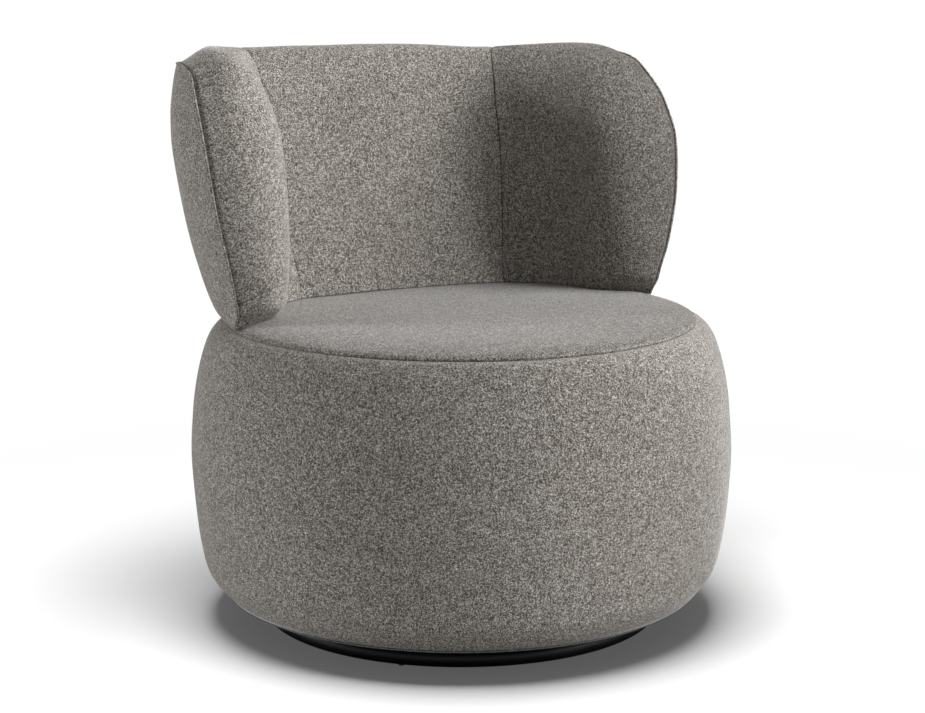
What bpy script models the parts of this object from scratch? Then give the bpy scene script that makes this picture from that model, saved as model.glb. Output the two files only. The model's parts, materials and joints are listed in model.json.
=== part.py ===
"""Swivel lounge chair: an upholstered drum on a ball-bearing turntable, with a wrap-around padded back.

Metres, +Z up. The origin is on the floor, on the swivel axis. The sitter faces -Y and the back is at +Y.
"""
import math

import bmesh
import bpy
from mathutils import Matrix, Quaternion, Vector

# Fits and facets
GAP = 0.0003                    # between faces that touch in the real chair
SOFT_GAP = 0.0008               # between foam and what wraps it
CUT_OVERRUN = 0.010             # how far a cutter runs past what it cuts
ROUND_STEPS = 40                # facets round the drum and the base
TUBE_STEPS = 12                 # facets round the floor ring's tube
HOLE_STEPS = 8                  # facets round a screw or a screw hole
GROOVE_STEPS = 3                # facets across the race of a turntable plate
MERGE_DISTANCE = 0.00001

# Base: a tube ring on four glides, with a flat cross welded in it
GLIDE_COUNT = 4
GLIDE_RADIUS = 0.004
GLIDE_HEIGHT = 0.004
GLIDE_SOLE = 0.001              # under the lowest line of the tube
RING_RADIUS = 0.271             # to the middle of the tube
RING_TUBE_RADIUS = 0.012
CROSS_WIDTH = 0.030
CROSS_HEIGHT = 0.010

# Turntable: two pressed plates with a row of balls between them
PLATE_THICKNESS = 0.003
PLATE_HOLE_RADIUS = 0.038
RACE_RADIUS = 0.120
RACE_WALL = 0.009               # from the row of balls to either side of the race
BALL_RADIUS = 0.004
BALL_COUNT = 8
BALL_CLEARANCE = 0.0004
CAGE_THICKNESS = 0.002
CAGE_CLEARANCE = 0.0005
CAGE_WIDTH = 0.016
PLATE_SPACE = 0.0114            # between the two plates
BOLT_RACE_ROOM = 0.020          # from the row of balls out to the lower bolts
SCREW_RACE_ROOM = 0.035         # from the row of balls in to the upper screws
PLATE_EDGE_ROOM = 0.010         # from the lower bolts to the plates' edge
FASTENER_COUNT = 4
BOLT_SHANK_RADIUS = 0.003
BOLT_HEAD_RADIUS = 0.0055
BOLT_HEAD_HEIGHT = 0.0035
SCREW_SHANK_RADIUS = 0.0025
SCREW_HEAD_RADIUS = 0.005
SCREW_HEAD_HEIGHT = 0.003
SCREW_BITE = 0.011              # how far a screw goes into the board

# Drum frame
FRAME_EDGE_ROOM = 0.0203         # from the hem's outer edge to the frame
BOARD_THICKNESS = 0.015
BOARD_HOLE_RADIUS = 0.035
DUST_COVER_THICKNESS = 0.0008
DUST_COVER_ROOM = 0.008         # from the plates' edge to the lining
POST_COUNT = 6
POST_WIDTH = 0.040
POST_EDGE_ROOM = 0.006          # from a post's outer face to the frame's edge
TOP_RING_WIDTH = 0.077
TOP_RING_THICKNESS = 0.018
SKIN_THICKNESS = 0.004

# Drum upholstery
DRUM_RADIUS = 0.380
HEM_HEIGHT = 0.039              # from the floor to the drum's lower edge
HEM_BAND_HEIGHT = 0.0055
SEAM_HEIGHT = 0.424
SEAM_ROOM = 0.0008              # from the seam to the cut edge of either cover
SEAT_CROWN = 0.0152
SEAT_CROWN_POWER = 0.35
DRUM_COVER = 0.006              # fabric with its wadding
SEAT_FOAM_DEPTH = 0.060         # at the rim

# Springs under the seat foam
SPRING_COUNT = 4
SPRING_SPACING = 0.100
SPRING_WIRE_RADIUS = 0.002
SPRING_SWING = 0.020            # from a spring's middle line to its bends
SPRING_PITCH = 0.044
SPRING_HOLD = 0.020             # how far a spring's end lies on the top ring
FELT_THICKNESS = 0.004
FELT_EDGE_ROOM = 0.027          # past the opening of the top ring

# Back
BACK_RISE = 0.365               # from the seat seam to the top
BACK_SIDE_ROOM = 0.0032         # how far the back at its widest stays inside the drum
BACK_CENTRE_SHIFT = 0.1406      # how far the plan's centre moves back, seam to top
WELT_RADIUS = 0.002
WING_THICKNESS = 0.1222         # from a wing's inner face to the back's widest
INNER_WAIST = 0.017             # how much the wings close in above the seat
BACK_THICKNESS = 0.1486         # at the seat
INNER_LEAN = 0.094              # how far the inner back leans, seat to top
INNER_CENTRE = 0.0456           # centre of the inner plan, behind the swivel axis
INNER_SQUARENESS = 3.3
SEAM_VALLEY = 0.007
SIDE_ROLL_DEPTH = 0.061
SIDE_ROLL_BULGE = 0.023
TOP_ROLL_DEPTH = 0.068
TOP_ROLL_BULGE = 0.0285
BACK_COVER = 0.008              # fabric with its wadding
SHELL_THICKNESS = 0.012
SHELL_EDGE_ROOM = 0.014         # from the welt to the shell's edge
FOAM_EDGE_ROOM = 0.0025         # from the cover's edge to the foam's, along the outside
FOAM_LIP = 0.0015               # how far the foam runs past the shell's edge
WELT_ROOM = 0.0026              # from the welt's middle line to either cover
BACK_SEAT_GAP = 0.0014          # from the seat to the inner covers
BACK_UNDER_GAP = 0.0028         # from the seat to the foam, the shell and the outer cover
BACK_POST_WIDTH = 0.040
BACK_POST_THICKNESS = 0.006
BACK_POST_SHELL_GAP = 0.0026
BACK_POST_SLOT = 0.0009         # round a post where it passes through something soft
BACK_BOLT_RADIUS = 0.004
BACK_BOLT_HEAD_RADIUS = 0.008
BACK_BOLT_HEAD_HEIGHT = 0.003
BACK_BOLT_RECESS = 0.0045       # from the shell's outer face to the bottom of the head's pocket
BACK_BOLT_END = 0.004           # past the inner face of a post

# Facets of the back: columns round it and rows up it
ROLL_STEPS = 3
WING_COLUMNS = 4
CENTRE_COLUMNS = 10
FACE_ROWS = 6
COLUMNS = 2 * (ROLL_STEPS + WING_COLUMNS) + CENTRE_COLUMNS
ROWS = FACE_ROWS + ROLL_STEPS
SEAM_COLUMN = ROLL_STEPS + WING_COLUMNS
LIFT_ROUNDS = 16                # rounds of settling the back's foot on the crowned seat

# Drum outline: share of the height from hem to seam, share of the drum's radius
DRUM_SHARES = (
    (0.000, 0.8746), (0.091, 0.9448), (0.182, 0.9707), (0.300, 0.9878), (0.455, 0.9991), (0.540, 1.0000),
    (0.650, 0.9930), (0.740, 0.9845), (0.825, 0.9690), (0.905, 0.9465), (0.955, 0.9240), (0.985, 0.8960),
    (1.000, 0.8660),
)
DRUM_STATION_SHARES = (0.0, 0.07, 0.18, 0.35, 0.54, 0.72, 0.84, 0.92, 0.965, 0.99)
LINING_STATION_SHARES = (0.0, 0.18, 0.54, 0.84, 0.95)
CROWN_STATION_SHARES = (0.985, 0.94, 0.85, 0.70, 0.45, 0.20)
UNDER_STATION_SHARES = (0.94, 0.80, 0.45)

# Back's outer plan by height: share of the rise, then shares of the way from the seat seam to the
# widest half-width, of the centre's shift, and of the way from the seat seam to the rear reach
OUTER_SHARES = (
    (0.000, 0.000, 0.000, 0.000), (0.053, 0.092, 0.326, 0.179), (0.247, 0.520, 0.429, 0.515),
    (0.425, 0.818, 0.479, 0.716), (0.648, 1.000, 0.596, 0.888), (0.754, 0.952, 0.705, 0.948),
    (0.828, 0.861, 0.779, 0.985), (0.944, 0.548, 0.947, 1.000), (1.000, 0.311, 1.000, 0.990),
    (1.080, 0.060, 1.020, 0.930),
)
# Wings' front edge by height: share of the rise, degrees round from the middle of the back,
# degrees that the roll turns from backwards to downwards, how much the edge's slant widens an inset
EDGE_SHARES = (
    (0.000, 87.0, 0.0, 2.6), (0.053, 96.5, 0.0, 1.9), (0.120, 99.4, 0.0, 1.2), (0.247, 101.1, 0.0, 1.0),
    (0.425, 101.5, 0.0, 1.0), (0.648, 102.0, 0.0, 1.0), (0.754, 101.4, 8.0, 1.0), (0.828, 99.8, 20.0, 1.0),
    (0.936, 95.8, 45.0, 1.0),
)
EDGE_ROW_POWER = 1.3            # crowds the rows towards the seat
# Top edge by angle: degrees round from the middle, share of the rise, degrees as above
TOP_SHARES = (
    (0.0, 0.958, 90.0), (22.0, 0.951, 90.0), (37.0, 0.940, 90.0), (50.0, 0.947, 90.0), (66.0, 0.960, 90.0),
    (80.0, 0.966, 88.0), (89.0, 0.960, 72.0), (95.8, 0.936, 45.0),
)
CORNER_HEIGHT_SHARE = 0.936
CORNER_ANGLE = 95.8
SEAM_ANGLE_SEAT = 48.0
SEAM_ANGLE_TOP = 41.5
SEAM_VALLEY_ANGLE = 6.0
# Inner plan by height: share of the rise, share of the waist, share of the lean
INNER_SHARES = (
    (0.00, 0.55, -0.03), (0.03, 0.58, 0.00), (0.25, 0.88, 0.27), (0.47, 1.00, 0.53), (0.70, 0.75, 0.80),
    (0.85, 0.25, 0.96), (1.00, -0.30, 1.06), (1.08, -0.50, 1.10),
)
BACK_POST_ANGLES = (-58.0, 0.0, 58.0)
BACK_POST_HEIGHT_SHARE = 0.36
BACK_BOLT_HEIGHT_SHARE = 0.25

# Radii and widths that follow from the sizes above
LOWER_BOLT_CIRCLE = RACE_RADIUS + BOLT_RACE_ROOM
UPPER_SCREW_CIRCLE = RACE_RADIUS - SCREW_RACE_ROOM
PLATE_RADIUS = LOWER_BOLT_CIRCLE + PLATE_EDGE_ROOM
DUST_COVER_INNER_RADIUS = PLATE_RADIUS + DUST_COVER_ROOM
FRAME_RADIUS = DRUM_RADIUS * DRUM_SHARES[0][1] - FRAME_EDGE_ROOM
SEAM_RADIUS = DRUM_RADIUS * DRUM_SHARES[-1][1]
BACK_REACH = DRUM_RADIUS - WELT_RADIUS      # the welt at the rear never passes the drum
BACK_HALF_WIDTH = DRUM_RADIUS - BACK_SIDE_ROOM
INNER_HALF_WIDTH = BACK_HALF_WIDTH - WING_THICKNESS
INNER_DEPTH = SEAM_RADIUS - BACK_THICKNESS
# Heights that follow from the sizes above
RING_HEIGHT = GLIDE_SOLE + RING_TUBE_RADIUS
CROSS_TOP = RING_HEIGHT + RING_TUBE_RADIUS
LOWER_PLATE_BOTTOM = CROSS_TOP + GAP
LOWER_PLATE_TOP = LOWER_PLATE_BOTTOM + PLATE_THICKNESS
UPPER_PLATE_BOTTOM = LOWER_PLATE_TOP + PLATE_SPACE
UPPER_PLATE_TOP = UPPER_PLATE_BOTTOM + PLATE_THICKNESS
BALL_HEIGHT = LOWER_PLATE_TOP + PLATE_SPACE / 2
BOARD_BOTTOM = UPPER_PLATE_TOP + GAP
BOARD_TOP = BOARD_BOTTOM + BOARD_THICKNESS
HEM_TOP = HEM_HEIGHT + HEM_BAND_HEIGHT
SEAT_FOAM_BOTTOM = SEAM_HEIGHT - DRUM_COVER - SEAT_FOAM_DEPTH
FELT_BOTTOM = SEAT_FOAM_BOTTOM - GAP - FELT_THICKNESS
SPRING_HEIGHT = FELT_BOTTOM - GAP - SPRING_WIRE_RADIUS
TOP_RING_TOP = SPRING_HEIGHT - SPRING_WIRE_RADIUS - GAP
TOP_RING_BOTTOM = TOP_RING_TOP - TOP_RING_THICKNESS
TOP_RING_INNER_RADIUS = FRAME_RADIUS - TOP_RING_WIDTH
SKIN_INNER_RADIUS = FRAME_RADIUS + GAP
SKIN_OUTER_RADIUS = SKIN_INNER_RADIUS + SKIN_THICKNESS
SEAT_FOAM_RADIUS = SKIN_OUTER_RADIUS
SHELL_DEPTH = BACK_COVER + SOFT_GAP
FOAM_DEPTH = SHELL_DEPTH + SHELL_THICKNESS + SOFT_GAP

MATERIALS = {
    # name: (base colour, roughness, metallic)
    "tweed": ((0.235, 0.220, 0.205, 1.0), 0.95, 0.0),
    "hem_fabric": ((0.150, 0.140, 0.130, 1.0), 0.95, 0.0),
    "black_steel": ((0.012, 0.012, 0.013, 1.0), 0.40, 0.60),
    "zinc_steel": ((0.560, 0.570, 0.580, 1.0), 0.35, 1.0),
    "bearing_steel": ((0.700, 0.700, 0.710, 1.0), 0.15, 1.0),
    "spring_steel": ((0.200, 0.200, 0.210, 1.0), 0.40, 1.0),
    "nylon": ((0.780, 0.770, 0.720, 1.0), 0.50, 0.0),
    "black_plastic": ((0.020, 0.020, 0.020, 1.0), 0.55, 0.0),
    "plywood": ((0.520, 0.370, 0.220, 1.0), 0.65, 0.0),
    "beech": ((0.560, 0.400, 0.250, 1.0), 0.60, 0.0),
    "hardboard": ((0.220, 0.130, 0.070, 1.0), 0.70, 0.0),
    "foam": ((0.780, 0.700, 0.480, 1.0), 1.00, 0.0),
    "felt": ((0.330, 0.330, 0.340, 1.0), 1.00, 0.0),
    "dust_cloth": ((0.030, 0.030, 0.032, 1.0), 0.90, 0.0),
}


# Scene helpers

def clear_scene():
    """Remove every object, so that the script can run twice."""
    for thing in list(bpy.data.objects):
        bpy.data.objects.remove(thing, do_unlink=True)


def new_collection(name):
    """Make a collection in the scene."""
    group = bpy.data.collections.new(name)
    bpy.context.scene.collection.children.link(group)
    return group


def new_material(name):
    """Make a Principled material from its row in MATERIALS."""
    colour, roughness, metallic = MATERIALS[name]
    made = bpy.data.materials.new(name)
    made.use_nodes = True
    shader = made.node_tree.nodes["Principled BSDF"]
    shader.inputs["Base Color"].default_value = colour
    shader.inputs["Roughness"].default_value = roughness
    shader.inputs["Metallic"].default_value = metallic
    made.diffuse_color = colour
    return made


def add_object(name, mesh, material, group):
    """Link a mesh as a named object with its material."""
    thing = bpy.data.objects.new(name, mesh)
    group.objects.link(thing)
    mesh.materials.clear()
    mesh.materials.append(bpy.data.materials.get(material) or new_material(material))
    return thing


def take_active(name, material, group):
    """Name the object that a primitive operator has just made, and move it into its collection."""
    thing = bpy.context.active_object
    for old_group in list(thing.users_collection):
        old_group.objects.unlink(thing)
    thing.name = name
    thing.data.name = name
    group.objects.link(thing)
    thing.data.materials.clear()
    thing.data.materials.append(bpy.data.materials.get(material) or new_material(material))
    return thing


def shade(thing):
    """Shade round faces smooth and keep the sharp edges."""
    thing.data.shade_smooth()
    thing.data.set_sharp_from_angle(angle=math.radians(35))


def cut(thing, cutter):
    """Cut one object with another by a Boolean."""
    modifier = thing.modifiers.new("cut_" + cutter.name, "BOOLEAN")
    modifier.operation = "DIFFERENCE"
    modifier.solver = "EXACT"
    modifier.object = cutter


def hide_cutter(cutter):
    """Mark a cutter as a guide, not a part."""
    cutter.hide_render = True
    cutter.display_type = "WIRE"


def on_circle(radius, angle, height):
    """A point on a circle about the swivel axis."""
    return Vector((radius * math.cos(angle), radius * math.sin(angle), height))


def smooth_row(rows, place):
    """Read a table at a place in its first column, along a smooth curve through its rows."""
    last = len(rows) - 1
    index = 0
    while index < last - 1 and place > rows[index + 1][0]:
        index += 1
    before = rows[max(index - 1, 0)]
    start = rows[index]
    end = rows[index + 1]
    after = rows[min(index + 2, last)]
    span = end[0] - start[0]
    share = (place - start[0]) / span
    share = min(max(share, 0.0), 1.0)
    values = []
    for column in range(1, len(start)):
        slope_in = (end[column] - before[column]) / (end[0] - before[0]) * span
        slope_out = (after[column] - start[column]) / (after[0] - start[0]) * span
        cubic = share * share * share
        square = share * share
        values.append(
            (2 * cubic - 3 * square + 1) * start[column]
            + (cubic - 2 * square + share) * slope_in
            + (3 * square - 2 * cubic) * end[column]
            + (cubic - square) * slope_out
        )
    return values


# Shapes

def turned(name, profile, material, group, steps=ROUND_STEPS):
    """Turn a closed profile about Z. It runs down its outer side, and may touch the axis."""
    mesh = bpy.data.meshes.new(name)
    points = [(radius, 0.0, height) for radius, height in profile]
    on_axis = profile[0][0] == 0 and profile[-1][0] == 0
    edges = [(index, index + 1) for index in range(len(points) - 1)]
    if not on_axis:
        edges.append((len(points) - 1, 0))
    mesh.from_pydata(points, edges, [])
    thing = add_object(name, mesh, material, group)
    screw = thing.modifiers.new("turn", "SCREW")
    screw.axis = "Z"
    screw.angle = math.tau
    screw.steps = steps
    screw.render_steps = steps
    screw.use_merge_vertices = True
    screw.merge_threshold = MERGE_DISTANCE
    screw.use_smooth_shade = False
    return thing


def washer(name, inner, outer, bottom, top, material, group):
    """A flat ring."""
    profile = [(inner, top), (outer, top), (outer, bottom), (inner, bottom)]
    return turned(name, profile, material, group)


def cylinder(name, radius, centre, length, direction, steps, material, group):
    """A plain cylinder about a direction."""
    bpy.ops.mesh.primitive_cylinder_add(vertices=steps, radius=radius, depth=length, location=centre)
    thing = take_active(name, material, group)
    thing.rotation_mode = "QUATERNION"
    thing.rotation_quaternion = Vector(direction).to_track_quat("Z", "Y")
    return thing


def stepped_pin(name, sections, centre, direction, material, group):
    """A pin of stacked round sections, each (radius, length), from its head on along a direction."""
    profile = [(0.0, 0.0)]
    place = 0.0
    for radius, length in sections:
        profile += [(radius, place), (radius, place - length)]
        place -= length
    profile.append((0.0, place))
    thing = turned(name, profile, material, group, HOLE_STEPS)
    thing.location = centre
    thing.rotation_mode = "QUATERNION"
    thing.rotation_quaternion = (-Vector(direction)).to_track_quat("Z", "Y")
    return thing


def block(name, size, material, group):
    """A box centred on its own origin."""
    mesh = bpy.data.meshes.new(name)
    shape = bmesh.new()
    bmesh.ops.create_cube(shape, size=1.0, matrix=Matrix.Diagonal((*size, 1.0)))
    shape.to_mesh(mesh)
    shape.free()
    return add_object(name, mesh, material, group)


# Drum outline and seat surface

def drum_radius(share):
    """Outer radius of the drum at a share of the height from hem to seam."""
    return DRUM_RADIUS * smooth_row(DRUM_SHARES, share)[0]


def drum_height(share):
    """Height over the floor at a share of the way from hem to seam."""
    return HEM_HEIGHT + (SEAM_HEIGHT - HEM_HEIGHT) * share


def seat_height(radius, inset=0.0):
    """Height of the crowned seat at a distance from the axis, on the surface or under its cover."""
    reach = min(radius / (SEAM_RADIUS - inset), 1.0)
    return SEAM_HEIGHT - inset + SEAT_CROWN * (1.0 - reach * reach) ** SEAT_CROWN_POWER


# Back surface

def outer_plan(height):
    """Half-width, centre and half-depth of the back's outer plan at a share of the rise."""
    wide, shift, deep = smooth_row(OUTER_SHARES, height)
    half_width = SEAM_RADIUS + (BACK_HALF_WIDTH - SEAM_RADIUS) * wide
    centre = BACK_CENTRE_SHIFT * shift
    half_depth = SEAM_RADIUS + (BACK_REACH - SEAM_RADIUS) * deep - centre
    return half_width, centre, half_depth


def outer_point(angle, height):
    """Point of the back's outer surface: angle in degrees from the middle, height as a share of the rise."""
    half_width, centre, half_depth = outer_plan(height)
    turn = math.radians(angle)
    across = half_width * math.sin(turn)
    along = centre + half_depth * math.cos(turn)
    return Vector((across, along, SEAM_HEIGHT + BACK_RISE * height))


def seam_angle(height):
    """Angle of the inner seam at a height."""
    return SEAM_ANGLE_SEAT + (SEAM_ANGLE_TOP - SEAM_ANGLE_SEAT) * min(max(height, 0.0), 1.0)


def inner_point(angle, height):
    """Point of the back's inner surface that faces the outer point of the same angle and height."""
    waist, lean = smooth_row(INNER_SHARES, height)
    half_width = INNER_HALF_WIDTH - INNER_WAIST * waist
    half_depth = INNER_DEPTH + INNER_LEAN * lean - INNER_CENTRE
    centre = Vector((0.0, INNER_CENTRE, 0.0))
    outside = outer_point(angle, height)
    aim = outside - centre
    wide = abs(aim.x) / half_width
    deep = max(aim.y, 0.0) / half_depth
    size = (wide ** INNER_SQUARENESS + deep ** INNER_SQUARENESS) ** (-1.0 / INNER_SQUARENESS)
    point = Vector((aim.x * size, INNER_CENTRE + aim.y * size, outside.z))
    away = (outside - point).normalized()
    turn = (abs(angle) - seam_angle(height)) / SEAM_VALLEY_ANGLE
    return point + away * SEAM_VALLEY * math.exp(-turn * turn)


def edge_place(column, row):
    """Place on the back's outline that a column and row of the pad belong to.

    Returns the side (+1 right, -1 left), angle, height, direction of the roll, widening of the inset,
    and the ring: 0 on the outline, ROLL_STEPS where the roll meets the face.
    """
    side = 1.0 if column <= COLUMNS / 2 else -1.0
    across = min(column, COLUMNS - column)
    under = ROWS - row
    ring = min(across, under, ROLL_STEPS)
    if across <= under and across < ROLL_STEPS or across <= ROLL_STEPS and under >= ROLL_STEPS:
        height = CORNER_HEIGHT_SHARE * (row / (ROWS - ring)) ** EDGE_ROW_POWER
        angle, roll, slant = smooth_row(EDGE_SHARES, height)
        return side, angle, height, roll, slant, ring
    if across <= SEAM_COLUMN:
        share = (across - ring) / (SEAM_COLUMN - ring)
        angle = CORNER_ANGLE + (SEAM_ANGLE_TOP - CORNER_ANGLE) * share
    else:
        share = (across - SEAM_COLUMN) / (COLUMNS / 2 - SEAM_COLUMN)
        angle = SEAM_ANGLE_TOP * (1.0 - share)
    height, roll = smooth_row(TOP_SHARES, angle)
    return side, angle, height, roll, 1.0, ring


def rolled_place(column, row, inset, bulged):
    """Angle, height and share of the thickness at a column and row of the roll."""
    side, angle, height, roll, slant, ring = edge_place(column, row)
    turn = math.pi / 2 * ring / ROLL_STEPS
    down = math.radians(roll)
    topness = roll / 90.0
    depth = SIDE_ROLL_DEPTH + (TOP_ROLL_DEPTH - SIDE_ROLL_DEPTH) * topness
    bulge = SIDE_ROLL_BULGE + (TOP_ROLL_BULGE - SIDE_ROLL_BULGE) * topness
    inward = inset * slant * math.cos(turn) + depth * (1.0 - math.cos(turn))
    if bulged:
        inward -= bulge * math.sin(2.0 * turn)
    half_depth = outer_plan(height)[2]
    angle -= math.degrees(inward * math.cos(down) / half_depth)
    height -= inward * math.sin(down) / BACK_RISE
    return side, angle, height, math.sin(turn)


def face_place(column, row, inset, bulged):
    """Signed angle and height inside the roll, blended from the edges of the face."""
    first = ROLL_STEPS
    last_row = ROWS - ROLL_STEPS
    side = 1.0 if column <= COLUMNS / 2 else -1.0
    across = min(column, COLUMNS - column)
    up = (row / last_row) ** EDGE_ROW_POWER
    nearness = max(1.0 - (across - first) / (SEAM_COLUMN - first), 0.0)
    _, edge_foot, foot_height, _ = rolled_place(first, 0, inset, bulged)
    _, edge, edge_height, _ = rolled_place(first, row, inset, bulged)
    _, edge_top, corner_height, _ = rolled_place(first, last_row, inset, bulged)
    _, top, top_height, _ = rolled_place(across, last_row, inset, bulged)
    if across <= SEAM_COLUMN:
        foot = SEAM_ANGLE_SEAT + (edge_foot - SEAM_ANGLE_SEAT) * nearness
    else:
        foot = SEAM_ANGLE_SEAT * (COLUMNS / 2 - across) / (COLUMNS / 2 - SEAM_COLUMN)
    angle = foot * (1.0 - up) + top * up
    angle += nearness * (edge - edge_foot * (1.0 - up) - edge_top * up)
    height = top_height * up
    height += nearness * (edge_height - foot_height * (1.0 - up) - corner_height * up)
    return side * angle, height


def pad_place(column, row, inset, full):
    """Signed angle, height and share of the thickness at a column and row of a pad surface."""
    across = min(column, COLUMNS - column)
    if across >= ROLL_STEPS and ROWS - row >= ROLL_STEPS:
        angle, height = face_place(column, row, inset, full)
        return angle, height, 1.0
    side, angle, height, share = rolled_place(column, row, inset, full)
    return side * angle, height, share


def pad_blend(angle, height, share, depth_out, depth_in, full):
    """Point between the outer and the inner surface.

    depth_out and depth_in are how far it lies under each of them. A full surface crosses over to the
    inner face by its share of the thickness. Otherwise it stays along the outside.
    """
    outside = outer_point(angle, height)
    inside = inner_point(angle, height)
    inward = (inside - outside).normalized()
    outside = outside + inward * depth_out
    inside = inside - inward * depth_in
    return outside.lerp(inside, share) if full else outside


def foot_lift(column, inset, depth_out, depth_in, seat_gap, full):
    """How far the lowest row is lifted onto the crowned seat, as a share of the rise."""
    angle, height, share = pad_place(column, 0, inset, full)
    lift = 0.0
    for _ in range(LIFT_ROUNDS):
        foot = pad_blend(angle, height + lift, share, depth_out, depth_in, full)
        wanted = (seat_height(math.hypot(foot.x, foot.y)) + seat_gap - SEAM_HEIGHT) / BACK_RISE
        lift += (wanted - lift) / 2
    return lift


def pad_point(column, row, inset, depth_out, depth_in, seat_gap, full):
    """Point of a pad surface at a column and row, standing on the seat."""
    angle, height, share = pad_place(column, row, inset, full)
    lift = foot_lift(column, inset, depth_out, depth_in, seat_gap, full)
    height += lift * (1.0 - row / ROWS) ** 3
    return pad_blend(angle, height, share, depth_out, depth_in, full)


def add_layer(shape, start, end, **surface):
    """Add a grid over the pad's columns start to end, shaped as one surface of the pad."""
    count = max(int(round(end - start)), 1)
    made = bmesh.ops.create_grid(shape, x_segments=count, y_segments=ROWS, size=1.0)
    faces = set()
    for vertex in made["verts"]:
        column = start + (end - start) * (vertex.co.x + 1.0) / 2.0
        row = ROWS * (vertex.co.y + 1.0) / 2.0
        vertex.co = pad_point(column, round(row), **surface)
        faces.update(vertex.link_faces)
    edges = set()
    for face in faces:
        edges.update(face.edges)
    return [edge for edge in edges if edge.is_boundary]


def pad_solid(name, start, end, front, back, material, group):
    """A closed solid between two surfaces of the pad."""
    mesh = bpy.data.meshes.new(name)
    shape = bmesh.new()
    rims = add_layer(shape, start, end, **front)
    rims += add_layer(shape, start, end, **back)
    bmesh.ops.bridge_loops(shape, edges=rims)
    bmesh.ops.recalc_face_normals(shape, faces=shape.faces)
    bmesh.ops.triangulate(shape, faces=shape.faces)
    shape.to_mesh(mesh)
    shape.free()
    thing = add_object(name, mesh, material, group)
    shade(thing)
    return thing


# Base

def make_base(group, cutters):
    """Floor ring on its glides, and the cross welded in it."""
    bpy.ops.mesh.primitive_torus_add(
        major_radius=RING_RADIUS, minor_radius=RING_TUBE_RADIUS, major_segments=ROUND_STEPS,
        minor_segments=TUBE_STEPS, location=(0.0, 0.0, RING_HEIGHT))
    shade(take_active("floor_ring", "black_steel", group))

    bpy.ops.mesh.primitive_torus_add(
        major_radius=RING_RADIUS, minor_radius=RING_TUBE_RADIUS + GAP, major_segments=ROUND_STEPS,
        minor_segments=TUBE_STEPS, location=(0.0, 0.0, RING_HEIGHT))
    saddle = take_active("saddle_cutter", "black_steel", cutters)
    hide_cutter(saddle)
    for number in range(GLIDE_COUNT):
        angle = math.tau * (number + 0.5) / GLIDE_COUNT
        centre = on_circle(RING_RADIUS, angle, GLIDE_HEIGHT / 2)
        glide = cylinder("floor_glide_%d" % (number + 1), GLIDE_RADIUS, centre, GLIDE_HEIGHT, (0, 0, 1),
                         TUBE_STEPS, "black_plastic", group)
        cut(glide, saddle)

    inner_flat = (RING_RADIUS - RING_TUBE_RADIUS) * math.cos(math.pi / ROUND_STEPS)
    half = CROSS_WIDTH / 2
    reach = math.sqrt(inner_flat * inner_flat - half * half) - GAP
    arm = [(half, half), (reach, half), (reach, -half), (half, -half)]
    outline = []
    for quarter in range(4):
        turn = Matrix.Rotation(-math.tau * quarter / 4, 2)
        outline += [turn @ Vector(point) for point in arm[:3]]
    curve = bpy.data.curves.new("base_cross", "CURVE")
    curve.dimensions = "2D"
    curve.fill_mode = "BOTH"
    curve.extrude = CROSS_HEIGHT / 2
    spline = curve.splines.new("POLY")
    spline.points.add(len(outline) - 1)
    for point, place in zip(spline.points, outline):
        point.co = (place.x, place.y, 0.0, 1.0)
    spline.use_cyclic_u = True
    cross = bpy.data.objects.new("base_cross", curve)
    cross.location = (0.0, 0.0, CROSS_TOP - CROSS_HEIGHT / 2)
    group.objects.link(cross)
    cross = mesh_from_curve(cross, "black_steel", group)

    depth = PLATE_THICKNESS + CROSS_HEIGHT + CUT_OVERRUN
    for number in range(FASTENER_COUNT):
        angle = math.tau * number / FASTENER_COUNT
        drill_at(cross, "bolt_hole_%d" % (number + 1), BOLT_SHANK_RADIUS + GAP,
                 on_circle(LOWER_BOLT_CIRCLE, angle, CROSS_TOP), depth * 2, cutters)


def mesh_from_curve(thing, material, group):
    """Replace a filled curve by its welded mesh."""
    bpy.context.view_layer.update()
    evaluated = thing.evaluated_get(bpy.context.evaluated_depsgraph_get())
    mesh = bpy.data.meshes.new_from_object(evaluated)
    shape = bmesh.new()
    shape.from_mesh(mesh)
    bmesh.ops.remove_doubles(shape, verts=shape.verts, dist=MERGE_DISTANCE)
    bmesh.ops.recalc_face_normals(shape, faces=shape.faces)
    shape.to_mesh(mesh)
    shape.free()
    name = thing.name
    place = thing.matrix_world.copy()
    bpy.data.objects.remove(thing, do_unlink=True)
    mesh.name = name
    made = add_object(name, mesh, material, group)
    made.matrix_world = place
    return made


def drill_at(thing, name, radius, centre, length, cutters):
    """Cut an upright round hole. Its flats lie on the radius, so a round pin clears them."""
    widest = radius / math.cos(math.pi / HOLE_STEPS)
    drill = cylinder(name, widest, centre, length, (0, 0, 1), HOLE_STEPS, "zinc_steel", cutters)
    bearing = math.atan2(centre[1], centre[0])
    drill.rotation_quaternion = Quaternion((0, 0, 1), bearing + math.pi / HOLE_STEPS)
    hide_cutter(drill)
    cut(thing, drill)
    return drill


# Turntable

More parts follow.
